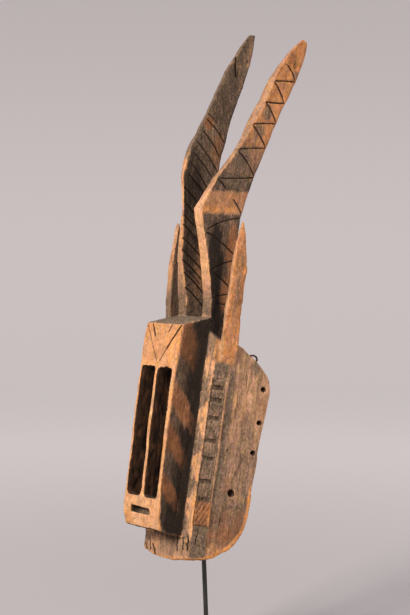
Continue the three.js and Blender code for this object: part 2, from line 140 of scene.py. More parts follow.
def layered_noise(points: np.ndarray, layers: int, seed: int) -> np.ndarray:
    """Adds finer and weaker layers of noise to a first one.

    Args:
        points: Places, already divided by the size of the largest lump.
        layers: How many layers.
        seed: Picks one of many patterns.

    Returns:
        Values from about -1 to 1.
    """
    total = np.zeros(len(points))
    weight = 1.0
    for layer in range(layers):
        total += weight * value_noise(points * LAYER_STEP**layer, seed + layer)
        weight *= LAYER_FADE
    return total / LAYER_PEAK


def knife_facets(points: np.ndarray, size: Place, seed: int) -> np.ndarray:
    """Heights of flat cuts that meet in low ridges, as a blade leaves them.

    Args:
        points: Places in millimetres.
        size: The mean size of a cut along each axis, in millimetres.
        seed: Picks one of many patterns.

    Returns:
        Heights from about -1 to 1.
    """
    scaled = points / np.array(size)
    home = np.floor(scaled)
    nearest = np.full(len(points), np.inf)
    height = np.zeros(len(points))
    for step in range(27):
        offset = np.array([step % 3 - 1, step // 3 % 3 - 1, step // 9 - 1])
        cell = home + offset
        jitter = np.stack([lattice_value(cell, seed + axis) for axis in range(3)], axis=1)
        away = scaled - (cell + 0.5 + FACET_JITTER * jitter)
        distance = (away * away).sum(axis=1)
        tilt = np.stack([lattice_value(cell, seed + 3 + axis) for axis in range(3)], axis=1)
        closer = distance < nearest
        nearest = np.where(closer, distance, nearest)
        height = np.where(closer, (tilt * away).sum(axis=1) + FACET_STEP * tilt[:, 0], height)
    return height


class CarverFrame:
    """The mask's own frame in millimetres: x across, y back from the face plate, z up along the face."""

    lean = math.radians(10.2)
    at = np.array([0.0, -75.45, 195.0])
    turn = np.array(
        [
            [1.0, 0.0, 0.0],
            [0.0, math.cos(lean), -math.sin(lean)],
            [0.0, math.sin(lean), math.cos(lean)],
        ]
    )

    @classmethod
    def local(cls, points: np.ndarray) -> np.ndarray:
        """Places in metres in the frame of the stand, as the carver's millimetres."""
        return (points / MM - cls.at) @ cls.turn.T

    @classmethod
    def world(cls, points: np.ndarray) -> np.ndarray:
        """The carver's millimetres, as places in metres in the frame of the stand."""
        return (points @ cls.turn + cls.at) * MM

    @classmethod
    def local_direction(cls, directions: np.ndarray) -> np.ndarray:
        """Directions in the frame of the stand, turned into the carver's frame."""
        return directions @ cls.turn.T


def vectors(items: bpy.types.bpy_prop_collection, name: str) -> np.ndarray:
    """Reads one vector of each point of a mesh.

    Args:
        items: The mesh's vertices, or their normals.
        name: The property that holds the vector.

    Returns:
        A row of three for each point.
    """
    values = np.empty(len(items) * 3, np.float32)
    items.foreach_get(name, values)
    return values.reshape(-1, 3).astype(float)


@dataclass
class Surface:
    """The points of a mesh in the carver's frame, with their neighbours."""

    points: np.ndarray
    normals: np.ndarray
    edges: np.ndarray
    degree: np.ndarray

    @classmethod
    def of(cls, mesh: bpy.types.Mesh) -> "Surface":
        """Reads a mesh.

        Args:
            mesh: A mesh in metres in the frame of the stand.

        Returns:
            Its surface in the carver's frame.
        """
        edges = np.empty(len(mesh.edges) * 2, np.int32)
        mesh.edges.foreach_get("vertices", edges)
        return cls(
            CarverFrame.local(vectors(mesh.vertices, "co")),
            CarverFrame.local_direction(vectors(mesh.vertex_normals, "vector")),
            edges.reshape(-1, 2),
            np.maximum(np.bincount(edges, minlength=len(mesh.vertices)), 1).astype(float),
        )

    def write(self, mesh: bpy.types.Mesh) -> None:
        """Puts the points back into the mesh and reads its new normals.

        Args:
            mesh: The mesh that the surface was read from.
        """
        mesh.vertices.foreach_set("co", CarverFrame.world(self.points).astype(np.float32).ravel())
        mesh.update()
        self.normals = CarverFrame.local_direction(vectors(mesh.vertex_normals, "vector"))

    def neighbour_mean(self, values: np.ndarray) -> np.ndarray:
        """Takes the mean of the values at each point's neighbours.

        Args:
            values: One value or one row of values for each point.

        Returns:
            The means, in the same form.
        """
        columns = values.reshape(len(values), -1)
        count = len(self.points)
        first, second = self.edges[:, 0], self.edges[:, 1]
        sums = [
            np.bincount(first, weights=column[second], minlength=count)
            + np.bincount(second, weights=column[first], minlength=count)
            for column in columns.T
        ]
        return (np.stack(sums, axis=1) / self.degree[:, None]).reshape(values.shape)

    def smoothed(self, values: np.ndarray, times: int) -> np.ndarray:
        """Averages the values with their neighbours, some times over.

        Args:
            values: One value or one row of values for each point.
            times: How many rounds.

        Returns:
            The smoother values.
        """
        for _ in range(times):
            values = 0.5 * values + 0.5 * self.neighbour_mean(values)
        return values

    def relief(self, times: int) -> np.ndarray:
        """How far each point stands out of its neighbourhood in millimetres, negative in a hollow."""
        away = self.points - self.smoothed(self.points, times)
        return (away * self.normals).sum(axis=1)

    def push(self, distance: np.ndarray) -> None:
        """Moves each point out along its normal by a distance in millimetres."""
        self.points = self.points + self.normals * distance[:, None]


class Zone(Enum):
    """The parts of the carving that are told apart when it is cut and painted."""

    BOX = "box"
    BOX_INSIDE = "box inside"
    SHELL = "shell"
    HORN = "horn"
    EAR = "ear"
    HOLLOW = "hollow"


class Face(Enum):
    """Faces that lines and paint lie on, each read as y and z, or as x and z on the chin and front."""

    RIGHT_HORN = "right horn, outer"
    LEFT_HORN = "left horn, inner"
    WALL = "side wall"
    EAR = "ear, outer"
    CHIN = "chin plate"
    FRONT = "box front"


def sway(reach: np.ndarray, seed: int) -> np.ndarray:
    """Noise along a line, from -1 to 1, at places already divided by the wanted length of a sway."""
    return value_noise(np.stack([reach, reach * 0.0, reach * 0.0], axis=1), seed)


@dataclass(frozen=True)
class ScoredLine:
    """A line scored across a face, between two places on it, with the rise of its middle."""

    face: Face
    start: Spot
    end: Spot
    bow: float = 0.0
    half_width: float = 0.95
    depth: float = 1.4
    wander: float = 0.0
    sway_length: float = 4.0
    taper: float = 0.5

    def distance(self, along: np.ndarray, up: np.ndarray) -> np.ndarray:
        """How far each place on the face is from the line, in millimetres.

        Args:
            along: The first coordinate of each place.
            up: The second coordinate of each place.

        Returns:
            Distances, which count for more towards the line's tapered ends.
        """
        run = np.array(self.end) - np.array(self.start)
        length = float(np.hypot(*run))
        unit = run / length
        reach = (along - self.start[0]) * unit[0] + (up - self.start[1]) * unit[1]
        aside = (up - self.start[1]) * unit[0] - (along - self.start[0]) * unit[1]
        share = np.clip(reach / length, 0.0, 1.0)
        curve = self.bow * 4.0 * share * (1.0 - share)
        if self.wander:
            curve = curve + self.wander * sway(reach / self.sway_length, Seed.LINE_SWAY)
        past = reach - share * length
        return np.hypot(aside - curve, past) + self.taper * ramp(np.abs(share - 0.5), 0.42, 0.5)


@dataclass(frozen=True)
class Crack:
    """A split along the grain, between two places in the carver's frame."""

    start: Place
    end: Place
    half_width: float = 0.9
    depth: float = 1.6
    wander: float = 1.2
    sway_length: float = 7.0
    most_away: float = 6.0


@dataclass(frozen=True)
class Block:
    """One block of a notched band, with its chisel strokes."""

    low: float
    high: float
    slant: float
    pitch: float
    depth: float


# Lines on the horns as y, z at one end and at the other, then the rise of the middle where it isn't shared
RUNGS = (
    (39.4, 595.1, 75.5, 602.7, 0.5), (30.6, 565.8, 64, 571.5, -0.8),
    (16.3, 532.8, 54.6, 542.1, 0.6), (-0.5, 496.0, 46.5, 507.9, 0.6), (-22.2, 454.1, 37, 467.4, -0.6),
    (-26.7, 386.4, 28.5, 412.4, 3.0), (-11.1, 336.9, 27, 356.5, 1.5), (0, 303.5, 30, 313.5, 0.5),
    (5, 296.6, 30, 299.2, 0.3),
)
FAINT_RUNGS = (
    (51, 620.3, 59, 620.3, 0.3), (40.5, 596.7, 46.5, 610.8, 0.4), (46.5, 610.8, 50.3, 617.1, 0.2),
    (32.9, 582.9, 26.5, 555.6, -0.6),
)
DIAGONALS = (
    (56.6, 620.3, 73.9, 603.9, 2.0), (39.8, 593.8, 62.6, 571.3, 2.2), (31.8, 565.3, 54.9, 543.4, 1.8),
    (17.4, 531.9, 46, 508.4, 1.8), (0.8, 494.9, 36.2, 468.8, 2.4), (-21.1, 452.6, -6.3, 443.4, 0.8),
    (8.7, 433.3, 29, 413.5, 1.4), (-26.2, 384.2, 28, 361.5, 3.0), (-6, 336, 29, 319, 1.8),
)
SLANTS = (
    (5.3, 543.2, 37.2, 517.2), (1, 525.8, 31.8, 495.5), (-7.9, 508.2, 29, 476.5), (-11.8, 492.5, 24, 461.5),
    (-19.3, 480, 26, 437), (-23.1, 463.8, 26, 427.5), (-26.1, 443.9, 26.5, 408), (-24.8, 424.9, 26.5, 391.5),
    (-23.3, 408, 26.5, 376.5), (-22.2, 395.7, 28, 363), (-19.3, 377.8, 29, 348.5), (-18.1, 362.9, 30, 334),
    (-14.8, 349.6, 31, 321.5), (-11.2, 334.5, 32, 307.5), (-5, 315.1, 32, 291.5),
)
FINE_SLANTS = ((-13, 458, 16, 440), (-12, 386.5, 14, 367), (-8, 338, 20, 322.5), (6, 551, 24, 540))
HORN_CRACK = (49.2, 641, 51.8, 612.4)
PINHOLE = (62.2, 658, 62.2, 656)
# Splits at the chin and lines on the forehead as x, z at both ends, then the bow, half width and depth
SPLITS = (
    (-36.3, -17.6, -32.2, -27.7, 0, 0.8, 1.1), (-28.3, -9, -24.6, -26.5, 0, 0.9, 0.8),
    (-20.5, -17, -15, -31, 0, 1.3, 2.0), (-6.5, -6, -4, -16, 0, 0.7, 0.45),
    (28.1, 0, 30.7, -19, 0, 0.9, 1.0), (17, -3, 15.5, -20, 0, 0.7, 0.4),
    (38.5, 0, 40.6, -16.5, 0, 0.8, 0.8), (44, 3, 45.2, -17, 0, 0.8, 0.9),
)
FOREHEAD = (
    (35.5, 263, 13, 230, 0, 1.1, 1.4), (13, 230, 2, 214, 0, 0.85, 0.55), (-34, 262, -2.5, 214, 0, 0.8, 0.5),
    (-22, 262, -13.5, 245.5, 0, 1.0, 1.1), (16.5, 263, 12, 252.5, 0, 0.95, 0.6),
)


def strokes(face: Face, rows: tuple[tuple[float, ...], ...], **style: float) -> list[ScoredLine]:
    """Makes lines with a common face and style from rows of their ends and what isn't in the style."""
    return [ScoredLine(face, row[:2], row[2:4], *row[4:], **style) for row in rows]


def scored_lines() -> list[ScoredLine]:
    """Gathers the lines that are scored or split into the horns, the forehead and the chin.

    Returns:
        Every line.
    """
    return [
        *strokes(Face.RIGHT_HORN, DIAGONALS),
        *strokes(Face.RIGHT_HORN, RUNGS, half_width=0.75, depth=1.1),
        *strokes(Face.RIGHT_HORN, FAINT_RUNGS, half_width=0.65, depth=0.5),
        *strokes(Face.LEFT_HORN, SLANTS, bow=2.2),
        *strokes(Face.LEFT_HORN, FINE_SLANTS, bow=1.4, half_width=0.8, depth=0.7),
        *strokes(Face.LEFT_HORN, (HORN_CRACK,), half_width=1.4, depth=3.0, wander=0.6),
        *strokes(Face.LEFT_HORN, (PINHOLE,), half_width=1.0, depth=2.0),
        *strokes(Face.FRONT, FOREHEAD),
        *strokes(Face.CHIN, SPLITS, wander=1.2),
    ]


@dataclass
class Carving:
    """The shapes that the tools left on the mask, in the carver's frame."""

    box_front: tuple[Spot, ...] = (
        (4.5, -34.8), (22, -40.3), (52, -43.6), (84, -45),
        (134, -46.2), (200, -47), (236, -46.6), (263, -45.3),
    )
    box_half: float = 39.0
    box_top: float = 282.0
    cavity_half: float = 33.5
    cavity_depths: Spot = (2.6, 22.0)
    cavity_heights: Spot = (28.0, 252.0)
    shell_plan: tuple[Spot, ...] = ((0, 37), (8, 47), (25, 57), (95, 74))
    thinnest_wall: float = 7.0
    ear_heights: Spot = (227.0, 412.0)
    band_start: Spot = (47.0, 8.0)
    band_end: Spot = (57.0, 25.0)
    blocks: tuple[Block, ...] = (
        Block(17, 46, 0.5, 5.4, 1.25),
        Block(52, 69, 0.1, 4.6, 1.0),
        Block(75, 98, 0.18, 6.2, 0.8),
        Block(104, 120, 0.05, 9.0, 0.4),
        Block(127, 149, 0.45, 4.8, 1.0),
        Block(155, 172, 0.5, 4.2, 0.95),
        Block(178, 188, 1.2, 5.0, 0.6),
    )
    cracks: tuple[Crack, ...] = (
        Crack((51, 15, 14), (49.5, 14, -16), 0.8, 1.3),
        Crack((-42, 4.5, 26), (-40, 4.2, -16), 1.1, 2.2),
        Crack((60, 37, 116.5), (60, 37, 113.5), 1.4, 1.6, 0.0),
        Crack((61, 41, 34), (60.5, 39, 12), 0.8, 1.0),
        Crack((65, 57, 146), (65, 58, 118), 0.7, 0.8),
        Crack((63, 49, 220), (63.5, 52, 188), 0.7, 0.9),
        Crack((-64, 53, 120), (-64, 54, 64), 0.8, 1.4),
        Crack((-61, 40, 214), (-60, 38, 176), 0.8, 1.2),
        Crack((-46, 50, 640), (-42.5, 48, 606), 1.0, 3.4, 0.6),
        Crack((-43.5, 56, 628), (-41.5, 53, 600), 0.8, 1.6, 0.6),
        Crack((41, 22, 548), (43.5, 33, 566), 0.7, 0.9),
        Crack((36, -24, 196), (36, -22, 120), 0.7, 0.7),
        Crack((36, -12, 96), (36, -14, 10), 0.9, 1.3),
        Crack((-36, -20, 180), (-36, -18, 60), 0.8, 1.0),
    )
    holes: tuple[Place, ...] = ((76, 197, 3.1), (76.5, 154, 3.3), (73, 115, 3.1), (50, 61, 4.6))
    full_dark_depth: float = 1.0
    worn_away: float = 0.85
    tool_marks: float = 0.85
    facet_size: Place = (13.0, 13.0, 32.0)
    small_facet_size: Place = (6.0, 6.0, 13.0)
    swell: float = 0.9
    swell_size: float = 26.0
    grain_ridges: float = 0.22
    ridge_size: Place = (1.6, 1.6, 34.0)
    edge_chips: float = 1.1
    chip_size: float = 3.6

    def front_of(self, z: np.ndarray) -> np.ndarray:
        """The depth of the box's front at each height."""
        heights, depths = zip(*self.box_front)
        return np.interp(z, heights, depths)

    def zones(self, surface: Surface) -> dict[Zone, np.ndarray]:
        """Tells the parts of the carving apart.

        Args:
            surface: The mask's surface.

        Returns:
            A share from 0 to 1 for each zone and point.
        """
        x, y, z = surface.points.T
        across = np.abs(x)
        outward = surface.normals[:, 0] * np.sign(x)
        front_wall, cavity_back = self.cavity_depths
        cavity_low, cavity_high = self.cavity_heights
        box_inside = (across < self.cavity_half) & (y - self.front_of(z) > front_wall) & (y < cavity_back)
        box_inside &= (z > cavity_low) & (z < cavity_high)
        ear_foot, ear_tip = self.ear_heights
        ear = between(z, ear_foot, ear_tip, 7) * ramp(across, 43.5, 46) * ramp(y, 38, 34)
        ear *= np.where(z < 251, ramp(y, 32, 26), 1.0)
        horn = ramp(z, 246, 252) * ramp(across, 45, 43) + ramp(z, ear_tip - 4, ear_tip) * (across >= 44)
        horn *= (y > 0) | (z > 284)
        box = ramp(y, 0.6, -0.6) * ramp(z, self.box_top + 4, self.box_top) * (across < self.box_half)
        inward = (outward < -0.1) | (surface.normals[:, 1] > 0.55)
        depths, halves = zip(*self.shell_plan)
        inner_half = np.interp(y, depths, halves) - self.thinnest_wall
        hollow = inward & (y > 9) & (z < 249) & (across < inner_half) & ~box_inside
        parts = {
            Zone.BOX_INSIDE: box_inside.astype(float),
            Zone.HOLLOW: hollow.astype(float),
            Zone.BOX: box,
            Zone.EAR: ear,
            Zone.HORN: horn,
        }
        left = np.ones(len(x))
        for zone, share in parts.items():
            parts[zone] = np.minimum(share, left)
            left = left - parts[zone]
        parts[Zone.SHELL] = left
        return parts

    def band_place(self, surface: Surface) -> tuple[np.ndarray, np.ndarray]:
        """Where each point lies on a notched band.

        Args:
            surface: The mask's surface.

        Returns:
            The distance along the band's width from its front edge, and the height above its facet.
        """
        x, y, _ = surface.points.T
        start, end = np.array(self.band_start), np.array(self.band_end)
        along = (end - start) / np.linalg.norm(end - start)
        offset = np.stack([np.abs(x), y], axis=1) - start
        return offset @ along, offset @ np.array([along[1], -along[0]])

    def on_band(self, surface: Surface) -> np.ndarray:
        """Finds the notched bands.

        Args:
            surface: The mask's surface.

        Returns:
            The share of each point that belongs to a band.
        """
        width, _ = self.band_place(surface)
        z = surface.points[:, 2]
        outside = np.abs(surface.points[:, 0]) > 44
        return between(width, -1.5, 20.5, 1.0) * between(z, 14, 205, 2.0) * outside

    def crack_dent(self, points: np.ndarray, crack: Crack, seed: int) -> np.ndarray:
        """How deep a crack is at each point.

        Args:
            points: Places in the carver's frame.
            crack: The crack.
            seed: Picks the way it wanders.

        Returns:
            Depths in millimetres.
        """
        start, end = np.array(crack.start), np.array(crack.end)
        run = end - start
        share = np.clip((points - start) @ run / (run @ run), 0.0, 1.0)
        nearest = start + share[:, None] * run
        shift = crack.wander * sway(nearest[:, 2] / crack.sway_length, seed)
        away = points - nearest
        side = np.where(np.abs(away[:, 0]) > np.abs(away[:, 1]), away[:, 0], away[:, 1])
        distance = np.sqrt((away * away).sum(axis=1) - side * side + (side - shift) ** 2)
        taper = np.sqrt(np.clip(4.0 * share * (1.0 - share), 0.05, 1.0))
        profile = np.clip(1.0 - (distance / (crack.half_width * taper)) ** 2, 0.0, 1.0)
        return crack.depth * taper * profile * (distance < crack.most_away)

    def chisel_strokes(self, surface: Surface) -> np.ndarray:
        """Cuts the strokes that roughen the blocks of the notched bands.

        Args:
            surface: The mask's surface.

        Returns:
            Depths in millimetres.
        """
        z = surface.points[:, 2]
        width, height = self.band_place(surface)
        on_band = between(width, 1.5, 17.5, 1.2) * between(height, 1.4, 4.8, 0.8)
        depth = np.zeros(len(z))
        for number, block in enumerate(self.blocks):
            inside = between(z, block.low + 1.5, block.high - 1.5, 1.5) * on_band
            lean = (z - block.low) * block.slant
            wave = np.cos((width - lean) / block.pitch * 2 * math.pi + number)
            depth += inside * block.depth * np.clip(wave, 0.0, 1.0) ** 2
        return depth

    def face_share(
        self, surface: Surface, zones: dict[Zone, np.ndarray], face: Face
    ) -> tuple[np.ndarray, np.ndarray, np.ndarray]:
        """Finds a face and the place of each point on it.

        Args:
            surface: The mask's surface.
            zones: Its zones.
            face: The face.

        Returns:
            The share of the face at each point, and its two coordinates there.
        """
        x, y, z = surface.points.T
        toward_x, toward_y, _ = surface.normals.T
        outward = toward_x * np.sign(x)
        if face in (Face.RIGHT_HORN, Face.LEFT_HORN):
            on_side = x > 0 if face is Face.RIGHT_HORN else x < 0
            return zones[Zone.HORN] * on_side * ramp(toward_x, 0.3, 0.7), y, z
        if face is Face.WALL:
            return zones[Zone.SHELL] * ramp(outward, 0.5, 0.8) * ramp(y, 26, 30), y, z
        if face is Face.EAR:
            return zones[Zone.EAR] * ramp(outward, 0.3, 0.6), y, z
        if face is Face.CHIN:
            return zones[Zone.SHELL] * ramp(-toward_y, 0.45, 0.7) * ramp(z, 10, 5), x, z
        return zones[Zone.BOX] * ramp(-toward_y, 0.35, 0.7), x, z

    def old_scores(self, surface: Surface) -> np.ndarray:
        """Finds the coarse lines of the solid, which are filled before the fine ones are cut.

        Args:
            surface: The mask's surface.

        Returns:
            The share of a coarse line at each point.
        """
        zones = self.zones(surface)
        _, y, z = surface.points.T
        fields = zones[Zone.HORN] * ramp(z, 262, 270)
        fields += zones[Zone.BOX] * ramp(z, 206, 210) * ramp(y, -40, -42)
        return surface.smoothed(ramp(-surface.relief(14), 0.04, 0.15) * fields, 3)

    def score(self, surface: Surface, zones: dict[Zone, np.ndarray]) -> tuple[np.ndarray, np.ndarray]:
        """Works out the scored lines.

        Args:
            surface: The mask's surface.
            zones: Its zones.

        Returns:
            The depth in millimetres at each point, and the share of a line there.
        """
        depth = np.zeros(len(surface.points))
        mask = np.zeros(len(surface.points))
        shares = {face: self.face_share(surface, zones, face) for face in Face}
        for line in scored_lines():
            share, along, up = shares[line.face]
            away = line.distance(along, up) / line.half_width
            depth = np.maximum(depth, share * line.depth * np.clip(1.25 - away, 0.0, 1.0))
            # Deeper lines are darker: the dark in a line is partly its fill and partly painted shade of its
            # depth.
            strength = min(1.0, line.depth / self.full_dark_depth)
            mask = np.maximum(mask, strength * share * ramp(away, 1.45, 0.8))
        return depth, mask

    def bored(self, surface: Surface, margin: float) -> np.ndarray:
        """Finds the holes through the rim.

        Args:
            surface: The mask's surface.
            margin: How far round a hole counts as the hole, in millimetres.

        Returns:
            1 at each point in a hole and 0 elsewhere.
        """
        x, y, z = surface.points.T
        share = np.zeros(len(x))
        for hole_y, hole_z, radius in self.holes:
            share = np.maximum(share, np.hypot(y - hole_y, z - hole_z) < radius + margin)
        return share * (np.abs(x) > 48)

    def bar_shifts(self, surface: Surface) -> np.ndarray:
        """Shifts the box's bars and the chin's left corner off the solid's straight shape.

        Args:
            surface: The mask's surface.

        Returns:
            Shifts along x in millimetres.
        """
        x, y, z = surface.points.T
        front = ramp(y, -4, -30)
        thick = 1.5 * between(z, 92, 116, 12)
        outer = 1.5 * between(z, 62, 196, 34) + 0.7 * between(z, 58, 84, 14) - 0.6 * thick
        left_bar = front * (outer * ramp(x, -29.5, -35) + thick * ramp(x, -20, -27))
        sway = 1.5 * ramp(z, 118, 98) - 0.9 * ramp(z, 175, 192) - 0.14 * x
        middle_bar = front * sway * ramp(np.abs(x), 7.5, 5) * between(z, 52, 202, 8)
        corner = 3.0 * ramp(x, -22, -34) * ramp(z, 4, -10) * ramp(y, 30, 8)
        return left_bar + middle_bar + corner

    def slanted_bore(self, surface: Surface) -> np.ndarray:
        """Brings the inner end of the lowest hole forward.

        Args:
            surface: The mask's surface.

        Returns:
            Shifts towards the front in millimetres.
        """
        x, y, z = surface.points.T
        hole_y, hole_z, radius = self.holes[-1]
        near = ramp(np.hypot(y - hole_y, z - hole_z), 3.4 * radius, 1.6 * radius)
        return 3.0 * near * ramp(np.abs(x), 61, 52)

    def ragged_ends(self, surface: Surface, box: np.ndarray) -> np.ndarray:
        """Chips the upper ends of the box's two slots.

        Args:
            surface: The mask's surface.
            box: The share of the box at each point.

        Returns:
            Depths in millimetres.
        """
        x, _, z = surface.points.T
        ends = between(z, 205, 210, 2) * between(np.abs(x), 5, 30, 2) * box
        return 1.8 * ends * np.clip(value_noise(surface.points / 1.9, Seed.SLOT_ENDS) + 0.2, 0.0, 1.0)

    def cut(self, surface: Surface) -> np.ndarray:
        """Works the surface over: worn edges, blade marks, grain, lines and cracks.

        Args:
            surface: The mask's surface.

        Returns:
            How dark the lines, cracks and holes are at each point: in the lines and cracks a dark fill that
            is partly painted shade of their depth, in the holes painted shade.
        """
        zones = self.zones(surface)
        filled = self.old_scores(surface)[:, None]
        bores = self.bored(surface, 1.6)[:, None]
        rounded = surface.smoothed(surface.points, 5)
        worn = surface.smoothed(rounded, 22)
        wear = ramp(layered_noise(surface.points / 13.0, 2, Seed.WORN_PLACES), -0.35, 0.5)
        wear = np.maximum(wear, zones[Zone.HOLLOW] * 0.5) * (1.0 - 0.8 * self.on_band(surface))
        x, y, _ = surface.points.T
        wear *= 1.0 - 0.75 * ramp(y, -30, -36) * ramp(np.abs(x), 34.5, 32.5)
        soft = rounded * (1.0 - wear[:, None]) + worn * wear[:, None]
        moved = soft - surface.points
        limit = self.worn_away / np.maximum(np.linalg.norm(moved, axis=1), self.worn_away)
        soft = surface.points + moved * limit[:, None]
        level = surface.smoothed(worn, 30)
        soft = soft * (1.0 - filled) + level * filled
        surface.points = soft * (1.0 - bores) + surface.points * bores
        surface.points[:, 0] += self.bar_shifts(surface)
        edge = ramp(surface.relief(10), 0.15, 0.6)
        facets = knife_facets(surface.points, self.facet_size, Seed.FACETS)
        small_facets = knife_facets(surface.points, self.small_facet_size, Seed.SMALL_FACETS)
        rough = 1.0 - 0.5 * zones[Zone.BOX] + 1.0 * zones[Zone.HOLLOW] - 0.5 * zones[Zone.HORN]
        rough *= 1.0 - 0.7 * edge
        ridges = layered_noise(surface.points / np.array(self.ridge_size), 2, Seed.GRAIN_RIDGES)
        ridge_share = 0.7 + 0.8 * zones[Zone.SHELL] - 0.3 * zones[Zone.BOX] - 0.3 * zones[Zone.BOX_INSIDE]
        distance = self.swell * value_noise(surface.points / self.swell_size, Seed.SWELL)
        distance += self.tool_marks * rough * (facets + 0.4 * small_facets)
        distance += self.grain_ridges * ridge_share * ridges
        distance -= self.chisel_strokes(surface)
        chips = value_noise(surface.points / self.chip_size, Seed.EDGE_CHIPS)
        distance -= self.edge_chips * edge * ramp(chips, 0.45, 0.85)
        distance -= self.ragged_ends(surface, zones[Zone.BOX])
        depth, dark = self.score(surface, zones)
        distance -= depth
        for number, crack in enumerate(self.cracks):
            dent = self.crack_dent(surface.points, crack, Seed.CRACK_SWAY + number)
            distance -= dent
            # Cracks are darkened as deep as they are cut, partly a dark fill and partly painted shade.
            dark = np.maximum(dark, ramp(dent, 0.25, 0.9))
        # Painted shade in the bored holes.
        dark = np.maximum(dark, self.bored(surface, 0.3))
        surface.push(distance * (1.0 - bores[:, 0]))
        surface.points[:, 1] -= self.slanted_bore(surface)
        return dark


class Coat(Enum):
    """What lies on the wood. The value is the name of the mesh attribute that holds its amount."""

    GREY = "grey_film"
    RED = "red_paint"
    # The black coat is black paint and soot, and is also used for painted shade in creases, notches, slots,
    # under the box and by the box's sides.
    BLACK = "black_paint_and_shade"
    BARE = "bare_wood"
    WARM = "warm_tone"
    CUT = "line_fill_and_painted_shade"


# The least and the most of a coat that the mesh stores
COAT_RANGE = (-0.5, 1.5)


@dataclass(frozen=True)
class Patch:
    """A soft oval of one coat on a face, from its middle and half sizes in millimetres."""

    coat: Coat
    middle: Spot
    half: Spot
    amount: float


PATCHES: dict[Face, tuple[Patch, ...]] = {
    Face.RIGHT_HORN: (
        Patch(Coat.BLACK, (69, 622), (5, 7), 0.6),
        Patch(Coat.GREY, (72, 612), (6, 6), 0.8),
        Patch(Coat.RED, (62, 632), (9, 9), 0.5),
        Patch(Coat.RED, (70, 652), (5, 8), 0.45),
        Patch(Coat.GREY, (56, 592), (9, 6), 0.45),
        Patch(Coat.GREY, (38, 552), (9, 11), 0.7),
        Patch(Coat.GREY, (31, 527), (10, 9), 0.7),
        Patch(Coat.GREY, (8, 486), (16, 17), 0.95),
        Patch(Coat.BLACK, (6, 488), (12, 11), 0.3),
        Patch(Coat.GREY, (4, 454), (34, 9), 0.95),
        Patch(Coat.BLACK, (4, 456), (22, 7), 0.3),
        # Below the elbow the dark paint is deepened into painted shade near the front edge, where the face
        # lies hollow behind its front strip.
        Patch(Coat.BLACK, (-8, 372), (11, 32), 0.95),
        Patch(Coat.BLACK, (-2, 330), (14, 38), 0.95),
        Patch(Coat.BLACK, (6, 284), (24, 26), 0.95),
        Patch(Coat.RED, (20, 372), (10, 32), 0.8),
        Patch(Coat.RED, (22, 318), (10, 34), 0.7),
    ),
    Face.LEFT_HORN: (
        Patch(Coat.BARE, (75, 648), (5, 24), 0.3),
        Patch(Coat.BLACK, (64, 656), (10, 22), 0.5),
        Patch(Coat.BLACK, (48, 616), (9, 24), 0.5),
        Patch(Coat.BLACK, (30, 570), (12, 28), 0.5),
        Patch(Coat.RED, (9, 538), (9, 9), 0.7),
        Patch(Coat.WARM, (16, 552), (12, 8), 1.0),
        Patch(Coat.RED, (27, 502), (10, 30), 0.45),
        Patch(Coat.BLACK, (-14, 440), (20, 64), 0.7),
        Patch(Coat.BLACK, (-8, 360), (16, 46), 0.58),
        Patch(Coat.RED, (18, 342), (14, 44), 0.4),
        Patch(Coat.BARE, (-1, 298), (5, 6), 0.9),
    ),
    Face.WALL: (
        Patch(Coat.GREY, (62, 222), (7, 11), 0.8),
        Patch(Coat.BARE, (54, 186), (7, 24), 0.45),
        Patch(Coat.GREY, (62, 134), (12, 22), 0.6),
        Patch(Coat.GREY, (72, 52), (8, 14), 0.95),
        Patch(Coat.BARE, (66, 54), (4, 6), 0.5),
        Patch(Coat.GREY, (38, 44), (10, 34), 0.8),
        Patch(Coat.RED, (42, 70), (6, 14), 0.35),
        Patch(Coat.BARE, (36, -12), (14, 8), 0.7),
        Patch(Coat.RED, (50, 8), (12, 12), 0.65),
        Patch(Coat.GREY, (60, 30), (16, 16), 0.72),
        Patch(Coat.BARE, (46, 2), (6, 4), 0.5),
    ),
    Face.CHIN: (
        Patch(Coat.GREY, (22, -12), (20, 12), 0.6),
        # Painted shade: a dark band across the chin just under the box.
        Patch(Coat.BLACK, (10, -2), (30, 4), 0.7),
    ),
    Face.FRONT: (
        Patch(Coat.WARM, (-20, 225), (14, 30), 0.5),
        Patch(Coat.WARM, (-30, 12), (12, 12), 0.6),
    ),
    Face.EAR: (
        Patch(Coat.GREY, (14, 312), (4, 44), 0.6),
        Patch(Coat.WARM, (30, 340), (7, 50), 1.0),
        Patch(Coat.RED, (24, 300), (7, 12), 0.4),
        Patch(Coat.BLACK, (25, 359), (3.5, 6), 0.45),
        Patch(Coat.BLACK, (18, 303), (3, 5), 0.45),
        Patch(Coat.BLACK, (14, 384), (4, 9), 0.4),
    ),
}
# The slanting bands on the box's side: the lower and the upper end, the soot and the bare wood of each
BROWN_BANDS = ((64, 78, 0.26, 0.0), (120, 138, 0.25, 0.0), (169, 191, 0.0, 0.6), (238, 275, 0.42, 0.0))
# The rim seen from the side, as y, z, from the chin up
LOW_RIM = (
    (22.0, -30.0), (35.0, -23.5), (45.0, -18.8), (58.0, -10.2),
    (68.0, 1.2), (75.0, 15.0), (78.5, 30.0), (80.0, 84.0),
)
# The lower and the upper end of each orange tooth on the narrow strip
TEETH = ((2, 64), (68, 112), (122, 176), (184, 240))


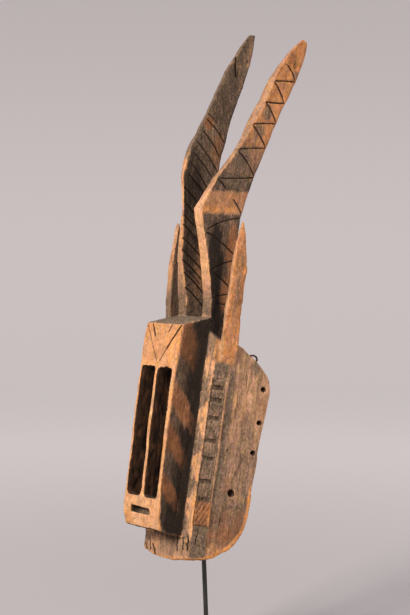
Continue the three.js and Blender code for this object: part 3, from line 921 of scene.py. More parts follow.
@dataclass
class Finish:
    """Lays the coats on the carving, point by point."""

    carving: Carving
    surface: Surface
    drift_size: Place = (8.0, 8.0, 22.0)
    streak_size: Place = (2.6, 2.6, 44.0)
    blotch_size: float = 6.0
    foot_fade: Spot = (345.0, 288.0)

    def __post_init__(self) -> None:
        """Starts with bare wood and reads the patterns that break up the coats."""
        points = self.surface.points
        self.amounts = {coat: np.zeros(len(points)) for coat in Coat}
        self.zones = self.carving.zones(self.surface)
        self.drift = layered_noise(points / np.array(self.drift_size), 2, Seed.DRIFT)
        self.streak = value_noise(points / np.array(self.streak_size), Seed.STREAK)
        self.blotch = layered_noise(points / self.blotch_size, 2, Seed.BLOTCH)
        self.slot_side = np.zeros(len(points))

    def lay(self, where: np.ndarray, **amounts: np.ndarray | float) -> None:
        """Sets some coats to amounts over an area.

        Args:
            where: The share of the area that each point belongs to.
            amounts: How much of each coat lies there, by the coat's name in small letters.
        """
        share = np.clip(where, 0.0, 1.0)
        for name, amount in amounts.items():
            coat = Coat[name.upper()]
            self.amounts[coat] = self.amounts[coat] + (amount - self.amounts[coat]) * share

    def paint_box(self) -> None:
        """The box: a bare front, slanting bands on its sides, soot with painted shade towards the shell, and
        painted shade under it and inside its slots.
        """
        x, y, z = self.surface.points.T
        forward = -self.surface.normals[:, 1]
        box = self.zones[Zone.BOX]
        front = box * ramp(forward, 0.35, 0.7)
        side = box * ramp(np.abs(self.surface.normals[:, 0]), 0.5, 0.8)
        top = box * ramp(self.surface.normals[:, 2], 0.5, 0.8)
        under = box * ramp(-self.surface.normals[:, 2], 0.4, 0.7)
        high = ramp(z, 190, 225)
        self.lay(
            front,
            bare=0.95 - 0.35 * high + 0.25 * self.drift, grey=-0.15 + 0.15 * high,
            warm=0.35 + 0.25 * high + 0.3 * self.drift,
        )
        fall = z + (y + 46) + 6 * self.drift + 3 * self.blotch
        shade = 0.5 + 0.19 * ramp(fall, 112, 44)
        brown = np.zeros(len(z))
        light = np.zeros(len(z))
        for low, end, soot, bare in BROWN_BANDS:
            share = between(fall, low, end, 10)
            brown = np.maximum(brown, share)
            shade += (soot - shade) * share
            light += bare * share
        # The black that follows the bands is dark paint; the black that rises towards the shell is soot and
        # painted shade of the crevice where the box meets the shell.
        self.lay(
            side,
            grey=1.2 - 1.8 * light, red=0.3 + 0.9 * brown - 0.6 * light,
            black=shade + 0.95 * ramp(y - 8 * brown, -35, -4), bare=0.0,
        )
        arris = side * ramp(y - self.carving.front_of(z), 3.0 + 6.0 * ramp(z, 185, 235), 0.8)
        self.lay(arris, bare=0.8, warm=0.8, grey=-0.2, red=0.1, black=-0.2)
        self.lay(top, grey=1.1, black=0.15)
        # Painted shade: the underside of the box is darkened where shade falls under it.
        self.lay(under, grey=1.0, black=0.7)
        # Inside the slots and on their side faces: red-brown paint and soot, made darker as painted shade of
        # the recess.
        slots = (np.abs(x) < 32.5) * between(z, 41, 210, 1.5)
        self.slot_side = box * slots * ramp(forward, 0.85, 0.55)
        inside = np.maximum(self.zones[Zone.BOX_INSIDE], self.slot_side)
        self.lay(inside, grey=1.2, red=1.1 + 0.3 * self.drift, black=0.72 + 0.25 * self.blotch, bare=-0.2)
        mouth = box * between(x, -27, 20, 2) * between(z, 18, 32, 2)
        sunk = mouth * ramp(y - self.carving.front_of(z), 0.9, 2.4)
        self.lay(sunk, grey=1.0, black=0.05 + 0.7 * ramp(x, 0, -20) + 0.3 * self.blotch)

    def paint_shell(self) -> None:
        """The shell: orange teeth on the narrow strip, with painted shade by the box and a painted highlight
        by the band, dark blocks with painted shade in their notches, a dark strip behind the band, and a
        streaked wall.
        """
        x, y, z = self.surface.points.T
        across = np.abs(x)
        shell = self.zones[Zone.SHELL]
        width, height = self.carving.band_place(self.surface)
        low = ramp(z, 60, 25)
        worn = 0.45 + 0.16 * self.streak + 0.24 * self.drift
        self.lay(
            shell,
            grey=worn + 0.16 * between(z, 50, 110, 25) + 0.3 * low,
            bare=0.19 - 0.22 * self.streak + 0.26 * self.blotch - 0.12 * low,
            warm=0.22 + 0.45 * self.drift + 0.2 * low, red=low * (0.42 + 0.4 * self.blotch),
        )
        strip = shell * ramp(across, 36.5, 37.5) * ramp(width, 1.0, -0.5) * between(z, -2, 262, 6)
        tooth = np.zeros(len(z))
        for start, end in TEETH:
            middle = 0.35 * start + 0.65 * end
            reach = np.where(z > middle, end - middle, middle - start)
            tooth = np.maximum(tooth, 1.0 - np.abs(z + 2 * self.blotch - middle) / reach)
        place = (across - 37) / 10.0
        orange = ramp(place - (0.86 - 1.05 * np.clip(tooth, 0, 1)) + 0.08 * self.blotch, -0.16, 0.16)
        # On the narrow strip, the black near the box is painted shade of the crevice, and the paler, less
        # warm tone at the band's edge is a painted highlight.
        self.lay(
            strip,
            bare=0.1 + 0.9 * orange, warm=0.6 - 0.35 * ramp(place, 0.7, 1.0), grey=1.3 - 1.85 * orange,
            red=0.0, black=0.36 * (1 - orange) * ramp(place, 0.6, 0.0) - 0.18,
        )
        # Painted shade in the hollow between the horn's root and the ear.
        shaded_neck = shell * ramp(z, 243, 250) * ramp(across, 45, 42)
        self.lay(shaded_neck, grey=0.9, black=0.7 * ramp(y, 2, 8))
        brow = shell * between(width, 1, 18, 2) * between(z, 207, 222, 4)
        self.lay(brow, grey=0.95, black=0.25 + 0.2 * self.blotch, warm=0.1)
        band = shell * between(width, -0.5, 19.0, 0.8) * between(z, 16, 203, 1.5)
        self.lay(band, grey=0.8 + 0.15 * self.blotch, black=0.24 + 0.22 * self.blotch, bare=0.12)
        # Painted shade: the floors of the notches between the blocks are darkened.
        floor = band * ramp(height, 2.2, 1.2) * ramp(width, 16.5, 14.5)
        self.lay(floor, black=0.62)
        last = band * ramp(z, 49, 45)
        self.lay(last, grey=0.4 + 0.2 * self.blotch, bare=0.25, warm=0.95, red=0.5)
        # A light line along the band's rear edge: bare worn wood, and partly a painted highlight.
        back_edge = shell * between(width, 18.3, 20.0, 0.7) * between(z, 16, 200, 3)
        self.lay(back_edge, bare=0.7, grey=0.1, black=-0.2)
        facet = shell * between(width, 0.5, 19, 0.8) * ramp(z, 17, 15)
        self.lay(facet, grey=1.25, black=0.22, red=0.0, bare=-0.1)
        # A darker grey strip runs down the wall just behind the band.
        dark_strip_behind_band = shell * ramp(y, 25.8, 27.5) * ramp(y, 40, 28)
        dark_strip_behind_band = dark_strip_behind_band * between(z, 18, 206, 14) * ramp(width, 20, 21)
        self.lay(dark_strip_behind_band, grey=1.0, black=0.16 + 0.2 * self.streak)
        chin = shell * ramp(-self.surface.normals[:, 1], 0.6, 0.85) * ramp(across, 46, 44)
        self.lay(chin, grey=0.5 + 0.3 * self.streak, bare=0.4, warm=0.15, red=0.0)
        low_edge = shell * ramp(-self.surface.normals[:, 2], 0.15, 0.5) * ramp(z, 16, 6)
        self.lay(low_edge, bare=0.9, warm=0.9, grey=-0.1, red=0.0)
        hollow = self.zones[Zone.HOLLOW]
        self.lay(
            hollow,
            grey=0.55 + 0.2 * self.streak, black=0.35 + 0.15 * self.drift, bare=0.25 + 0.2 * self.blotch,
            warm=0.5,
        )

    def paint_horns(self) -> None:
        """The horns: light front edges, dark carved faces and an orange right tip."""
        x, y, z = self.surface.points.T
        horn = self.zones[Zone.HORN]
        forward = -self.surface.normals[:, 1]
        self.lay(
            horn,
            grey=0.85 + 0.15 * self.streak, black=0.46 - 0.12 * (x < 0) + 0.2 * self.blotch, bare=0.1,
            warm=0.5,
        )
        right = horn * (x > 0) * ramp(self.surface.normals[:, 0], 0.2, 0.6)
        upper = right * ramp(z, 446, 500)
        high = ramp(z, 480, 560)
        self.lay(
            upper,
            grey=0.55 - 0.33 * high + 0.15 * self.streak, black=0.1 - 0.3 * high, bare=0.2 + 0.15 * high,
            warm=0.75 + 0.2 * ramp(z, 560, 640),
        )
        level = z - 0.16 * (y - 8)
        band = right * between(level, 415.5, 441, 3)
        self.lay(
            band,
            grey=0.14 + 0.3 * self.blotch, black=-0.2 + 0.15 * self.drift, red=0.35, bare=0.35, warm=0.5,
        )
        line = right * between(level, 416.5, 420.5, 1.5) * ramp(y, 20, 8)
        self.lay(line, bare=0.7, warm=1.0, red=0.1)
        tip = horn * (x > 0) * ramp(z, 622, 640)
        self.lay(tip, grey=0.05, black=-0.2, warm=1.0, bare=0.2)
        strip = horn * ramp(forward, 0.5, 0.75)
        foot = ramp(z, *self.foot_fade)
        above = ramp(z, 425, 455)
        self.lay(
            strip,
            black=-0.3, red=0.0, grey=0.12 + 0.2 * self.drift + 0.62 * foot + 0.3 * above,
            bare=0.75 - 0.55 * foot - 0.6 * above, warm=0.35,
        )
        elbow = strip * (x > 0) * between(z, 409, 424, 5)
        self.lay(elbow, bare=1.2, grey=-0.3, warm=0.0)
        left = strip * (x < 0)
        muted = 0.4 + 0.45 * ramp(z, 470, 500) - 0.5 * between(z, 425, 478, 8) + 0.4 * foot
        self.lay(left, grey=muted, black=-0.2 + 0.45 * ramp(z, 480, 520))

    def paint_ears(self) -> None:
        """The ears: a light front edge, a mottled outer face and a dark inner one."""
        x, _, z = self.surface.points.T
        ear = self.zones[Zone.EAR]
        outward = self.surface.normals[:, 0] * np.sign(x)
        forward = -self.surface.normals[:, 1]
        self.lay(
            ear,
            grey=0.28 + 0.3 * self.streak + 0.35 * self.blotch, black=0.35 * self.blotch, bare=0.3,
            warm=0.9 + 0.3 * self.drift,
        )
        inner = ear * ramp(-outward, 0.2, 0.6)
        self.lay(inner, grey=0.65, black=0.05, bare=0.15, warm=0.3)
        strip = ear * ramp(forward, 0.6, 0.85)
        left_foot = (x < 0) * ramp(z, 335, 288)
        self.lay(
            strip,
            grey=0.25 + 0.6 * left_foot, black=-0.2 + 0.2 * left_foot, bare=0.5 - 0.4 * left_foot,
            warm=0.3 - 0.2 * left_foot,
        )

    def lay_patches(self) -> None:
        """Adds the separate patches of paint and of bare wood, and some of painted shade."""
        for face, patches in PATCHES.items():
            share, along, up = self.carving.face_share(self.surface, self.zones, face)
            for patch in patches:
                aside = (along - patch.middle[0]) / patch.half[0]
                above = (up - patch.middle[1]) / patch.half[1]
                reach = np.hypot(aside, above) + 0.35 * self.drift + 0.12 * self.blotch
                self.lay(share * ramp(reach, 1.15, 0.7), **{patch.coat.name.lower(): patch.amount})
                if patch.coat in (Coat.BARE, Coat.RED):
                    self.lay(share * ramp(reach, 1.1, 0.6) * patch.amount, grey=0.15, black=0.05)

    def wear(self, dark: np.ndarray) -> None:
        """Bares the worn edges and paints shade into what lies deep.

        Args:
            dark: Where lines, cracks and holes are.
        """
        x, y, z = self.surface.points.T
        box, horn, ear = (self.zones[zone] for zone in (Zone.BOX, Zone.HORN, Zone.EAR))
        on_band = self.carving.on_band(self.surface)
        broad = self.surface.relief(22)
        edge = ramp(broad, 0.28, 0.9) * (1.0 - self.zones[Zone.BOX_INSIDE])
        edge *= (1.0 - 0.5 * self.zones[Zone.HOLLOW]) * ramp(self.drift, -0.9, 0.1)
        edge *= 1.0 - (0.7 + 0.25 * (x < 0)) * horn * ramp(z, 478, 500)
        edge *= (1.0 - 0.55 * ear) * (1.0 - 0.95 * self.slot_side)
        edge *= 1.0 - 0.75 * (horn + ear) * ramp(z, *self.foot_fade)
        edge *= 1.0 - 0.78 * on_band
        self.lay(edge * 0.8, bare=0.8, black=-0.1)
        self.lay(edge * 0.75, grey=0.1)
        self.lay(edge * 0.7, red=0.05)
        self.lay(edge * 0.5, warm=0.7)
        border = np.full(len(z), np.inf)
        for start, end in zip(LOW_RIM, LOW_RIM[1:]):
            run = np.array(end) - np.array(start)
            share = ((y - start[0]) * run[0] + (z - start[1]) * run[1]) / (run @ run)
            share = np.clip(share, 0.0, 1.0)
            away = np.hypot(y - start[0] - share * run[0], z - start[1] - share * run[1])
            border = np.minimum(border, away)
        rim = self.zones[Zone.SHELL] * ramp(border + 2.5 * self.blotch, 7.5, 3.0)
        rim *= (np.abs(x) > 50) * ramp(z, 84, 60)
        self.lay(rim, bare=0.75, warm=1.0, grey=-0.1, red=0.1)
        # Painted shade: creases, corners and hollows are made darker the deeper they lie, less so on the
        # bands and the lower box.
        sharp = (1.0 - 0.7 * on_band) * (1.0 - 0.6 * box * ramp(z, 60, 40))
        self.amounts[Coat.CUT] += dark
        self.amounts[Coat.BLACK] += 0.9 * sharp * ramp(-broad, 0.5, 2.2)

    def write(self, mesh: bpy.types.Mesh) -> None:
        """Stores every coat as an attribute of the mesh's points.

        Args:
            mesh: The mask's mesh.
        """
        for coat, amount in self.amounts.items():
            layer = mesh.attributes.new(coat.value, "FLOAT", "POINT")
            layer.data.foreach_set("value", np.clip(amount, *COAT_RANGE).astype(np.float32))


def new_object(name: str, data: bpy.types.ID) -> bpy.types.Object:
    """Puts a mesh, a lamp or a camera into the scene as an object at the origin.

    Args:
        name: The object's name.
        data: What it holds.

    Returns:
        The object.
    """
    made = bpy.data.objects.new(name, data)
    bpy.context.scene.collection.objects.link(made)
    return made


def settled_mesh(made: bpy.types.Object) -> bpy.types.Mesh:
    """Turns an object's modifiers into a plain mesh and takes the modifiers off.

    Args:
        made: The object.

    Returns:
        The mesh, which the object then holds.
    """
    graph = bpy.context.evaluated_depsgraph_get()
    mesh = bpy.data.meshes.new_from_object(made.evaluated_get(graph), depsgraph=graph)
    made.modifiers.clear()
    old, made.data = made.data, mesh
    bpy.data.meshes.remove(old)
    mesh.name = made.name
    return mesh


def shade_smooth(mesh: bpy.types.Mesh) -> None:
    """Shades every face of a mesh smoothly."""
    mesh.polygons.foreach_set("use_smooth", np.ones(len(mesh.polygons), bool))
    mesh.update()


Socket = bpy.types.NodeSocket
Value = float | tuple | Socket | None


class NodeBench:
    """Adds nodes to a tree and joins them."""

    def __init__(self, tree: bpy.types.NodeTree) -> None:
        """Starts on a tree."""
        self.tree = tree

    def feed(self, socket: Socket, value: Value) -> None:
        """Links a socket, or sets its value.

        Args:
            socket: An input.
            value: Another node's output, or a plain value.
        """
        if isinstance(value, Socket):
            self.tree.links.new(value, socket)
        elif value is not None:
            socket.default_value = value

    def add(self, kind: str, inputs: dict | None = None, **settings: object) -> bpy.types.Node:
        """Adds a node.

        Args:
            kind: Its type.
            inputs: A value or an output for each input, by name or number.
            settings: Its properties.

        Returns:
            The node.
        """
        node = self.tree.nodes.new(kind)
        for name, value in settings.items():
            setattr(node, name, value)
        for name, value in (inputs or {}).items():
            self.feed(node.inputs[name], value)
        return node

    def maths(self, operation: str, first: Value, second: Value = None, clamp: bool = False) -> Socket:
        """Adds a Math node.

        Args:
            operation: What it does.
            first: Its first value.
            second: Its second value, where it has one.
            clamp: Whether the result is kept from 0 to 1.

        Returns:
            The result.
        """
        node = self.add("ShaderNodeMath", {0: first}, operation=operation, use_clamp=clamp)
        self.feed(node.inputs[1], second)
        return node.outputs[0]

    def mix(self, share: Value, first: Value, second: Value, blend: str = "MIX") -> Socket:
        """Mixes two colours.

        Args:
            share: How much the second one counts.
            first: The first colour.
            second: The second colour.
            blend: How they are mixed.

        Returns:
            The mixed colour.
        """
        node = self.add("ShaderNodeMix", data_type="RGBA", blend_type=blend, clamp_factor=True)
        for number, value in ((0, share), (6, first), (7, second)):
            self.feed(node.inputs[number], value)
        return node.outputs[2]

    def spread(self, value: Value, start: float, end: float, low: float = 0.0, high: float = 1.0) -> Socket:
        """Maps a value smoothly from one range to another."""
        inputs = {"Value": value, "From Min": start, "From Max": end, "To Min": low, "To Max": high}
        return self.add("ShaderNodeMapRange", inputs, interpolation_type="SMOOTHSTEP").outputs[0]

    def noise(self, vector: Value, scale: float, detail: float = 3.0, roughness: float = 0.55) -> Socket:
        """Adds a noise texture and gives its value."""
        inputs = {"Vector": vector, "Scale": scale, "Detail": detail, "Roughness": roughness}
        return self.add("ShaderNodeTexNoise", inputs).outputs[0]

    def stretched(self, vector: Value, scale: Place) -> Socket:
        """Scales a vector along each axis."""
        node = self.add("ShaderNodeVectorMath", {0: vector, 1: scale}, operation="MULTIPLY")
        return node.outputs[0]


class EffectGroup:
    """A shader node group that several materials share."""

    def __init__(
        self, name: str, inputs: dict[str, tuple[str, float | None]], outputs: dict[str, str],
    ) -> None:
        """Makes the group with its sockets.

        Args:
            name: The group's name.
            inputs: A socket type and a first value for each input.
            outputs: A socket type for each output.
        """
        self.tree = bpy.data.node_groups.new(name, "ShaderNodeTree")
        for label, (kind, first) in inputs.items():
            socket = self.tree.interface.new_socket(label, in_out="INPUT", socket_type=kind)
            if first is not None:
                socket.default_value = first
        for label, kind in outputs.items():
            self.tree.interface.new_socket(label, in_out="OUTPUT", socket_type=kind)
        self.bench = NodeBench(self.tree)
        self.entry = self.tree.nodes.new("NodeGroupInput")
        self.exit = self.tree.nodes.new("NodeGroupOutput")

    def place(self, bench: NodeBench, inputs: dict[str, Value]) -> bpy.types.Node:
        """Places the group in a material with a value or an output for each of its inputs."""
        return bench.add("ShaderNodeGroup", inputs, node_tree=self.tree)


def patchy_cover() -> EffectGroup:
    """Makes a coat that breaks up along the grain where little of it is left.

    Returns:
        The group, which gives the coat's mask.
    """
    group = EffectGroup(
        "patchy_cover",
        {
            "Vector": ("NodeSocketVector", None),
            "Amount": ("NodeSocketFloat", 0.5),
            "Breakup": ("NodeSocketFloat", 1.0),
            "Softness": ("NodeSocketFloat", 0.12),
        },
        {"Mask": "NodeSocketFloat"},
    )
    bench, entry = group.bench, group.entry
    streaks = bench.noise(bench.stretched(entry.outputs["Vector"], (0.55, 0.55, 0.05)), 1.0, 4.0, 0.6)
    flecks = bench.noise(entry.outputs["Vector"], 0.5, 4.0, 0.65)
    streak_share = bench.maths("MULTIPLY", streaks, 0.65)
    pattern = bench.maths("ADD", streak_share, bench.maths("MULTIPLY", flecks, 0.35))
    shift = bench.maths("MULTIPLY", bench.maths("SUBTRACT", pattern, 0.5), 2.6)
    broken = bench.maths("MULTIPLY", shift, entry.outputs["Breakup"])
    level = bench.maths("ADD", entry.outputs["Amount"], broken)
    low = bench.maths("SUBTRACT", 0.5, entry.outputs["Softness"])
    high = bench.maths("ADD", 0.5, entry.outputs["Softness"])
    inputs = {"Value": level, "From Min": low, "From Max": high}
    mask = bench.add("ShaderNodeMapRange", inputs, interpolation_type="SMOOTHSTEP")
    bench.feed(group.exit.inputs["Mask"], mask.outputs[0])
    return group


def long_grain() -> EffectGroup:
    """Makes fibres that run along one axis.

    Returns:
        The group, which gives a slow figure, fine lines and pores.
    """
    group = EffectGroup(
        "long_grain",
        {"Vector": ("NodeSocketVector", None), "Coarseness": ("NodeSocketFloat", 1.0)},
        {"Figure": "NodeSocketFloat", "Lines": "NodeSocketFloat", "Pores": "NodeSocketFloat"},
    )
    bench, entry = group.bench, group.entry
    scaled = bench.add(
        "ShaderNodeVectorMath",
        {0: entry.outputs["Vector"], "Scale": entry.outputs["Coarseness"]},
        operation="SCALE",
    ).outputs[0]
    figure = bench.noise(bench.stretched(scaled, (0.22, 0.22, 0.012)), 1.0, 3.0)
    lines = bench.noise(bench.stretched(scaled, (1.5, 1.5, 0.05)), 1.0, 3.0, 0.6)
    inputs = {"Vector": bench.stretched(scaled, (1.1, 1.1, 0.22)), "Scale": 1.0}
    specks = bench.add("ShaderNodeTexVoronoi", inputs)
    pores = bench.spread(specks.outputs["Distance"], 0.26, 0.1)
    bench.feed(group.exit.inputs["Figure"], figure)
    bench.feed(group.exit.inputs["Lines"], lines)
    bench.feed(group.exit.inputs["Pores"], pores)
    return group


def settled_dust() -> EffectGroup:
    """Makes dust that lies on what faces up.

    Returns:
        The group, which gives the dust's mask.
    """
    group = EffectGroup(
        "settled_dust",
        {
            "Vector": ("NodeSocketVector", None),
            "Normal": ("NodeSocketVector", None),
            "Amount": ("NodeSocketFloat", 0.3),
        },
        {"Mask": "NodeSocketFloat"},
    )
    bench, entry = group.bench, group.entry
    upward = bench.add("ShaderNodeSeparateXYZ", {0: entry.outputs["Normal"]}).outputs["Z"]
    lying = bench.spread(upward, 0.25, 0.95)
    clumps = bench.spread(bench.noise(entry.outputs["Vector"], 0.16, 5.0, 0.6), 0.35, 0.7)
    clumped = bench.maths("MULTIPLY", lying, clumps)
    mask = bench.maths("MULTIPLY", clumped, entry.outputs["Amount"], clamp=True)
    bench.feed(group.exit.inputs["Mask"], mask)
    return group


@dataclass
class SharedEffects:
    """The effects that more than one material uses."""

    cover: EffectGroup = field(default_factory=patchy_cover)
    grain: EffectGroup = field(default_factory=long_grain)
    dust: EffectGroup = field(default_factory=settled_dust)


class Material:
    """A material with one Principled shader, and the coordinates that its patterns read."""

    def __init__(self, name: str, lean: float = 0.0) -> None:
        """Makes the material.

        Args:
            name: Its name.
            lean: How far its patterns turn about X, in radians.
        """
        self.made = bpy.data.materials.new(name)
        self.made.use_nodes = True
        self.made.node_tree.nodes.clear()
        self.bench = NodeBench(self.made.node_tree)
        self.shader = self.bench.add("ShaderNodeBsdfPrincipled")
        output = self.bench.add("ShaderNodeOutputMaterial")
        self.made.node_tree.links.new(self.shader.outputs[0], output.inputs[0])
        self.place = self.bench.add("ShaderNodeTexCoord")
        turned = self.bench.add("ShaderNodeMapping", {"Vector": self.place.outputs["Object"]})
        turned.inputs["Rotation"].default_value = (lean, 0.0, 0.0)
        turned.inputs["Scale"].default_value = (1 / MM, 1 / MM, 1 / MM)
        self.vector = turned.outputs[0]

    def attribute(self, name: str) -> Socket:
        """The value of a mesh attribute."""
        return self.bench.add("ShaderNodeAttribute", attribute_name=name).outputs["Fac"]

    def bump(self, height: Value, distance: float, strength: float = 1.0) -> None:
        """Sends a height through a Bump node to the shader's normal.

        Args:
            height: The height.
            distance: How far it reaches, in metres.
            strength: How much of it shows.
        """
        inputs = {"Height": height, "Distance": distance, "Strength": strength}
        node = self.bench.add("ShaderNodeBump", inputs)
        self.bench.feed(self.shader.inputs["Normal"], node.outputs[0])


@dataclass(frozen=True)
class OldWood:
    """Dry carved wood with the remains of grey, red-brown and black paint; the black also serves as painted
    shade in creases and hollows.
    """

    pale: Colour = (0.45, 0.257, 0.152)
    orange: Colour = (0.46, 0.19, 0.07)
    deep: Colour = (0.2, 0.085, 0.035)
    bare_pale: Colour = (0.6, 0.35, 0.2)
    bare_orange: Colour = (0.64, 0.285, 0.09)
    pink: Colour = (0.42, 0.23, 0.16)
    grey_light: Colour = (0.215, 0.148, 0.102)
    grey_dark: Colour = (0.1, 0.07, 0.05)
    red: Colour = (0.2, 0.082, 0.036)
    # The black coat's colour, used both for black paint and for painted shade
    black: Colour = (0.018, 0.0125, 0.009)
    # The colour of scored lines, cracks and holes: a dark fill with painted shade of their depth
    cut: Colour = (0.02, 0.01, 0.006)
    dust: Colour = (0.33, 0.285, 0.235)

    def make(self, effects: SharedEffects) -> bpy.types.Material:
        """Builds the material.

        Args:
            effects: The shared effects.

        Returns:
            The material.
        """
        material = Material("old_carved_wood", CarverFrame.lean)
        bench, vector = material.bench, material.vector
        grain = effects.grain.place(bench, {"Vector": vector, "Coarseness": 1.0})
        figure, lines, pores = (grain.outputs[name] for name in ("Figure", "Lines", "Pores"))
        tone = material.attribute(Coat.WARM.value)
        warm = bench.spread(bench.maths("ADD", tone, bench.maths("SUBTRACT", figure, 0.5)), 0.1, 0.9)
        wood = bench.mix(warm, (*self.pale, 1), (*self.orange, 1))
        wood = bench.mix(bench.spread(lines, 0.5, 0.72, 0.0, 0.55), wood, (*self.deep, 1))

        def cover(coat: Coat, colour: Value, below: Value, breakup: float, softness: float) -> Socket:
            """Lays one coat over the colour below it, as far as its attribute says.

            Args:
                coat: The coat.
                colour: Its colour.
                below: The colour below it.
                breakup: How far the pattern breaks it up.
                softness: How soft its edges are.

            Returns:
                The mixed colour.
            """
            inputs = {"Vector": vector, "Amount": material.attribute(coat.value)}
            mask = effects.cover.place(bench, {**inputs, "Breakup": breakup, "Softness": softness})
            return bench.mix(mask.outputs["Mask"], below, colour)

        raw = bench.mix(warm, (*self.bare_pale, 1), (*self.bare_orange, 1))
        colour = cover(Coat.BARE, raw, wood, 0.55, 0.45)
        blush = bench.noise(bench.stretched(vector, (0.3, 0.3, 0.09)), 1.0, 4.0, 0.6)
        colour = bench.mix(bench.spread(blush, 0.5, 0.66, 0.0, 0.6), colour, (*self.pink, 1))
        mottle = bench.spread(bench.noise(vector, 0.34, 5.0, 0.65), 0.36, 0.62)
        grey = bench.mix(mottle, (*self.grey_light, 1), (*self.grey_dark, 1))
        colour = cover(Coat.GREY, grey, colour, 0.75, 0.42)
        colour = cover(Coat.RED, (*self.red, 1), colour, 0.5, 0.48)
        colour = cover(Coat.BLACK, (*self.black, 1), colour, 0.55, 0.46)
        speckle = bench.noise(bench.stretched(vector, (0.6, 0.6, 0.24)), 1.0, 5.0, 0.75)
        fleck = bench.spread(speckle, 0.33, 0.67, 0.68, 1.27)
        cloud = bench.spread(bench.noise(vector, 0.1, 4.0, 0.6), 0.3, 0.7, 0.82, 1.16)
        tint = bench.noise(bench.stretched(vector, (0.17, 0.17, 0.1)), 1.0, 3.0)
        fleck = bench.maths("MULTIPLY", fleck, cloud)
        shares = {
            0: bench.maths("MULTIPLY", fleck, bench.spread(tint, 0.35, 0.65, 1.05, 0.97)),
            1: fleck,
            2: bench.maths("MULTIPLY", fleck, bench.spread(tint, 0.35, 0.65, 1.08, 0.86)),
        }
        tone = bench.add("ShaderNodeCombineColor", shares).outputs[0]
        colour = bench.mix(1.0, colour, tone, "MULTIPLY")
        colour = bench.mix(bench.maths("MULTIPLY", pores, 0.5), colour, (*self.deep, 1))
        line_and_hole_shade = bench.spread(material.attribute(Coat.CUT.value), 0.1, 0.75, 0.0, 0.94)
        colour = bench.mix(line_and_hole_shade, colour, (*self.cut, 1))
        dust = effects.dust.place(
            bench, {"Vector": vector, "Normal": material.place.outputs["Normal"], "Amount": 0.3}
        )
        colour = bench.mix(dust.outputs["Mask"], colour, (*self.dust, 1))
        bench.feed(material.shader.inputs["Base Color"], colour)
        bench.feed(material.shader.inputs["Roughness"], bench.spread(lines, 0.3, 0.7, 0.62, 0.86))
        material.shader.inputs["Specular IOR Level"].default_value = 0.15
        height = bench.maths("ADD", bench.maths("MULTIPLY", lines, 0.6), bench.noise(vector, 1.3, 4.0, 0.65))
        height = bench.maths("SUBTRACT", height, bench.maths("MULTIPLY", pores, 0.5))
        material.bump(height, 0.0006)
        return material.made


@dataclass(frozen=True)
class BlackenedSteel:
    """Mild steel with a satin black finish, thin on its edges."""

    paint: Colour = (0.022, 0.021, 0.02)
    metal: Colour = (0.16, 0.15, 0.14)
    dust: Colour = (0.3, 0.27, 0.24)

    def make(self, effects: SharedEffects, name: str, dusty: float) -> bpy.types.Material:
        """Builds the material.

        Args:
            effects: The shared effects.
            name: The material's name.
            dusty: How much dust lies on it.

        Returns:
            The material.
        """
        material = Material(name)
        bench, vector = material.bench, material.vector
        grain = effects.grain.place(bench, {"Vector": vector, "Coarseness": 1.6})
        worn = effects.cover.place(
            bench, {"Vector": vector, "Amount": 0.16, "Breakup": 0.75, "Softness": 0.2}
        )
        colour = bench.mix(worn.outputs["Mask"], (*self.paint, 1), (*self.metal, 1))
        dust = effects.dust.place(
            bench, {"Vector": vector, "Normal": material.place.outputs["Normal"], "Amount": dusty}
        )
        colour = bench.mix(dust.outputs["Mask"], colour, (*self.dust, 1))
        bench.feed(material.shader.inputs["Base Color"], colour)
        shine = bench.spread(worn.outputs["Mask"], 0.0, 1.0, 0.25, 0.8)
        bench.feed(material.shader.inputs["Metallic"], shine)
        uneven = bench.spread(grain.outputs["Lines"], 0.3, 0.7, 0.34, 0.5)
        rough = bench.maths("ADD", uneven, dust.outputs["Mask"])
        bench.feed(material.shader.inputs["Roughness"], rough)
        material.bump(bench.noise(vector, 1.1, 3.0), 0.00008, 0.6)
        return material.made


@dataclass(frozen=True)
class DriedCord:
    """Twisted cord, dark and stiff with age."""

    dark: Colour = (0.022, 0.009, 0.007)
    red: Colour = (0.085, 0.024, 0.014)

    def make(self, effects: SharedEffects) -> bpy.types.Material:
        """Builds the material.

        Args:
            effects: The shared effects.

        Returns:
            The material.
        """
        material = Material("dried_cord")
        bench, vector = material.bench, material.vector
        grain = effects.grain.place(bench, {"Vector": vector, "Coarseness": 3.0})
        colour = bench.mix(bench.spread(grain.outputs["Lines"], 0.35, 0.65), (*self.dark, 1), (*self.red, 1))
        bench.feed(material.shader.inputs["Base Color"], colour)
        material.shader.inputs["Roughness"].default_value = 0.8
        material.bump(grain.outputs["Lines"], 0.0002)
        return material.made


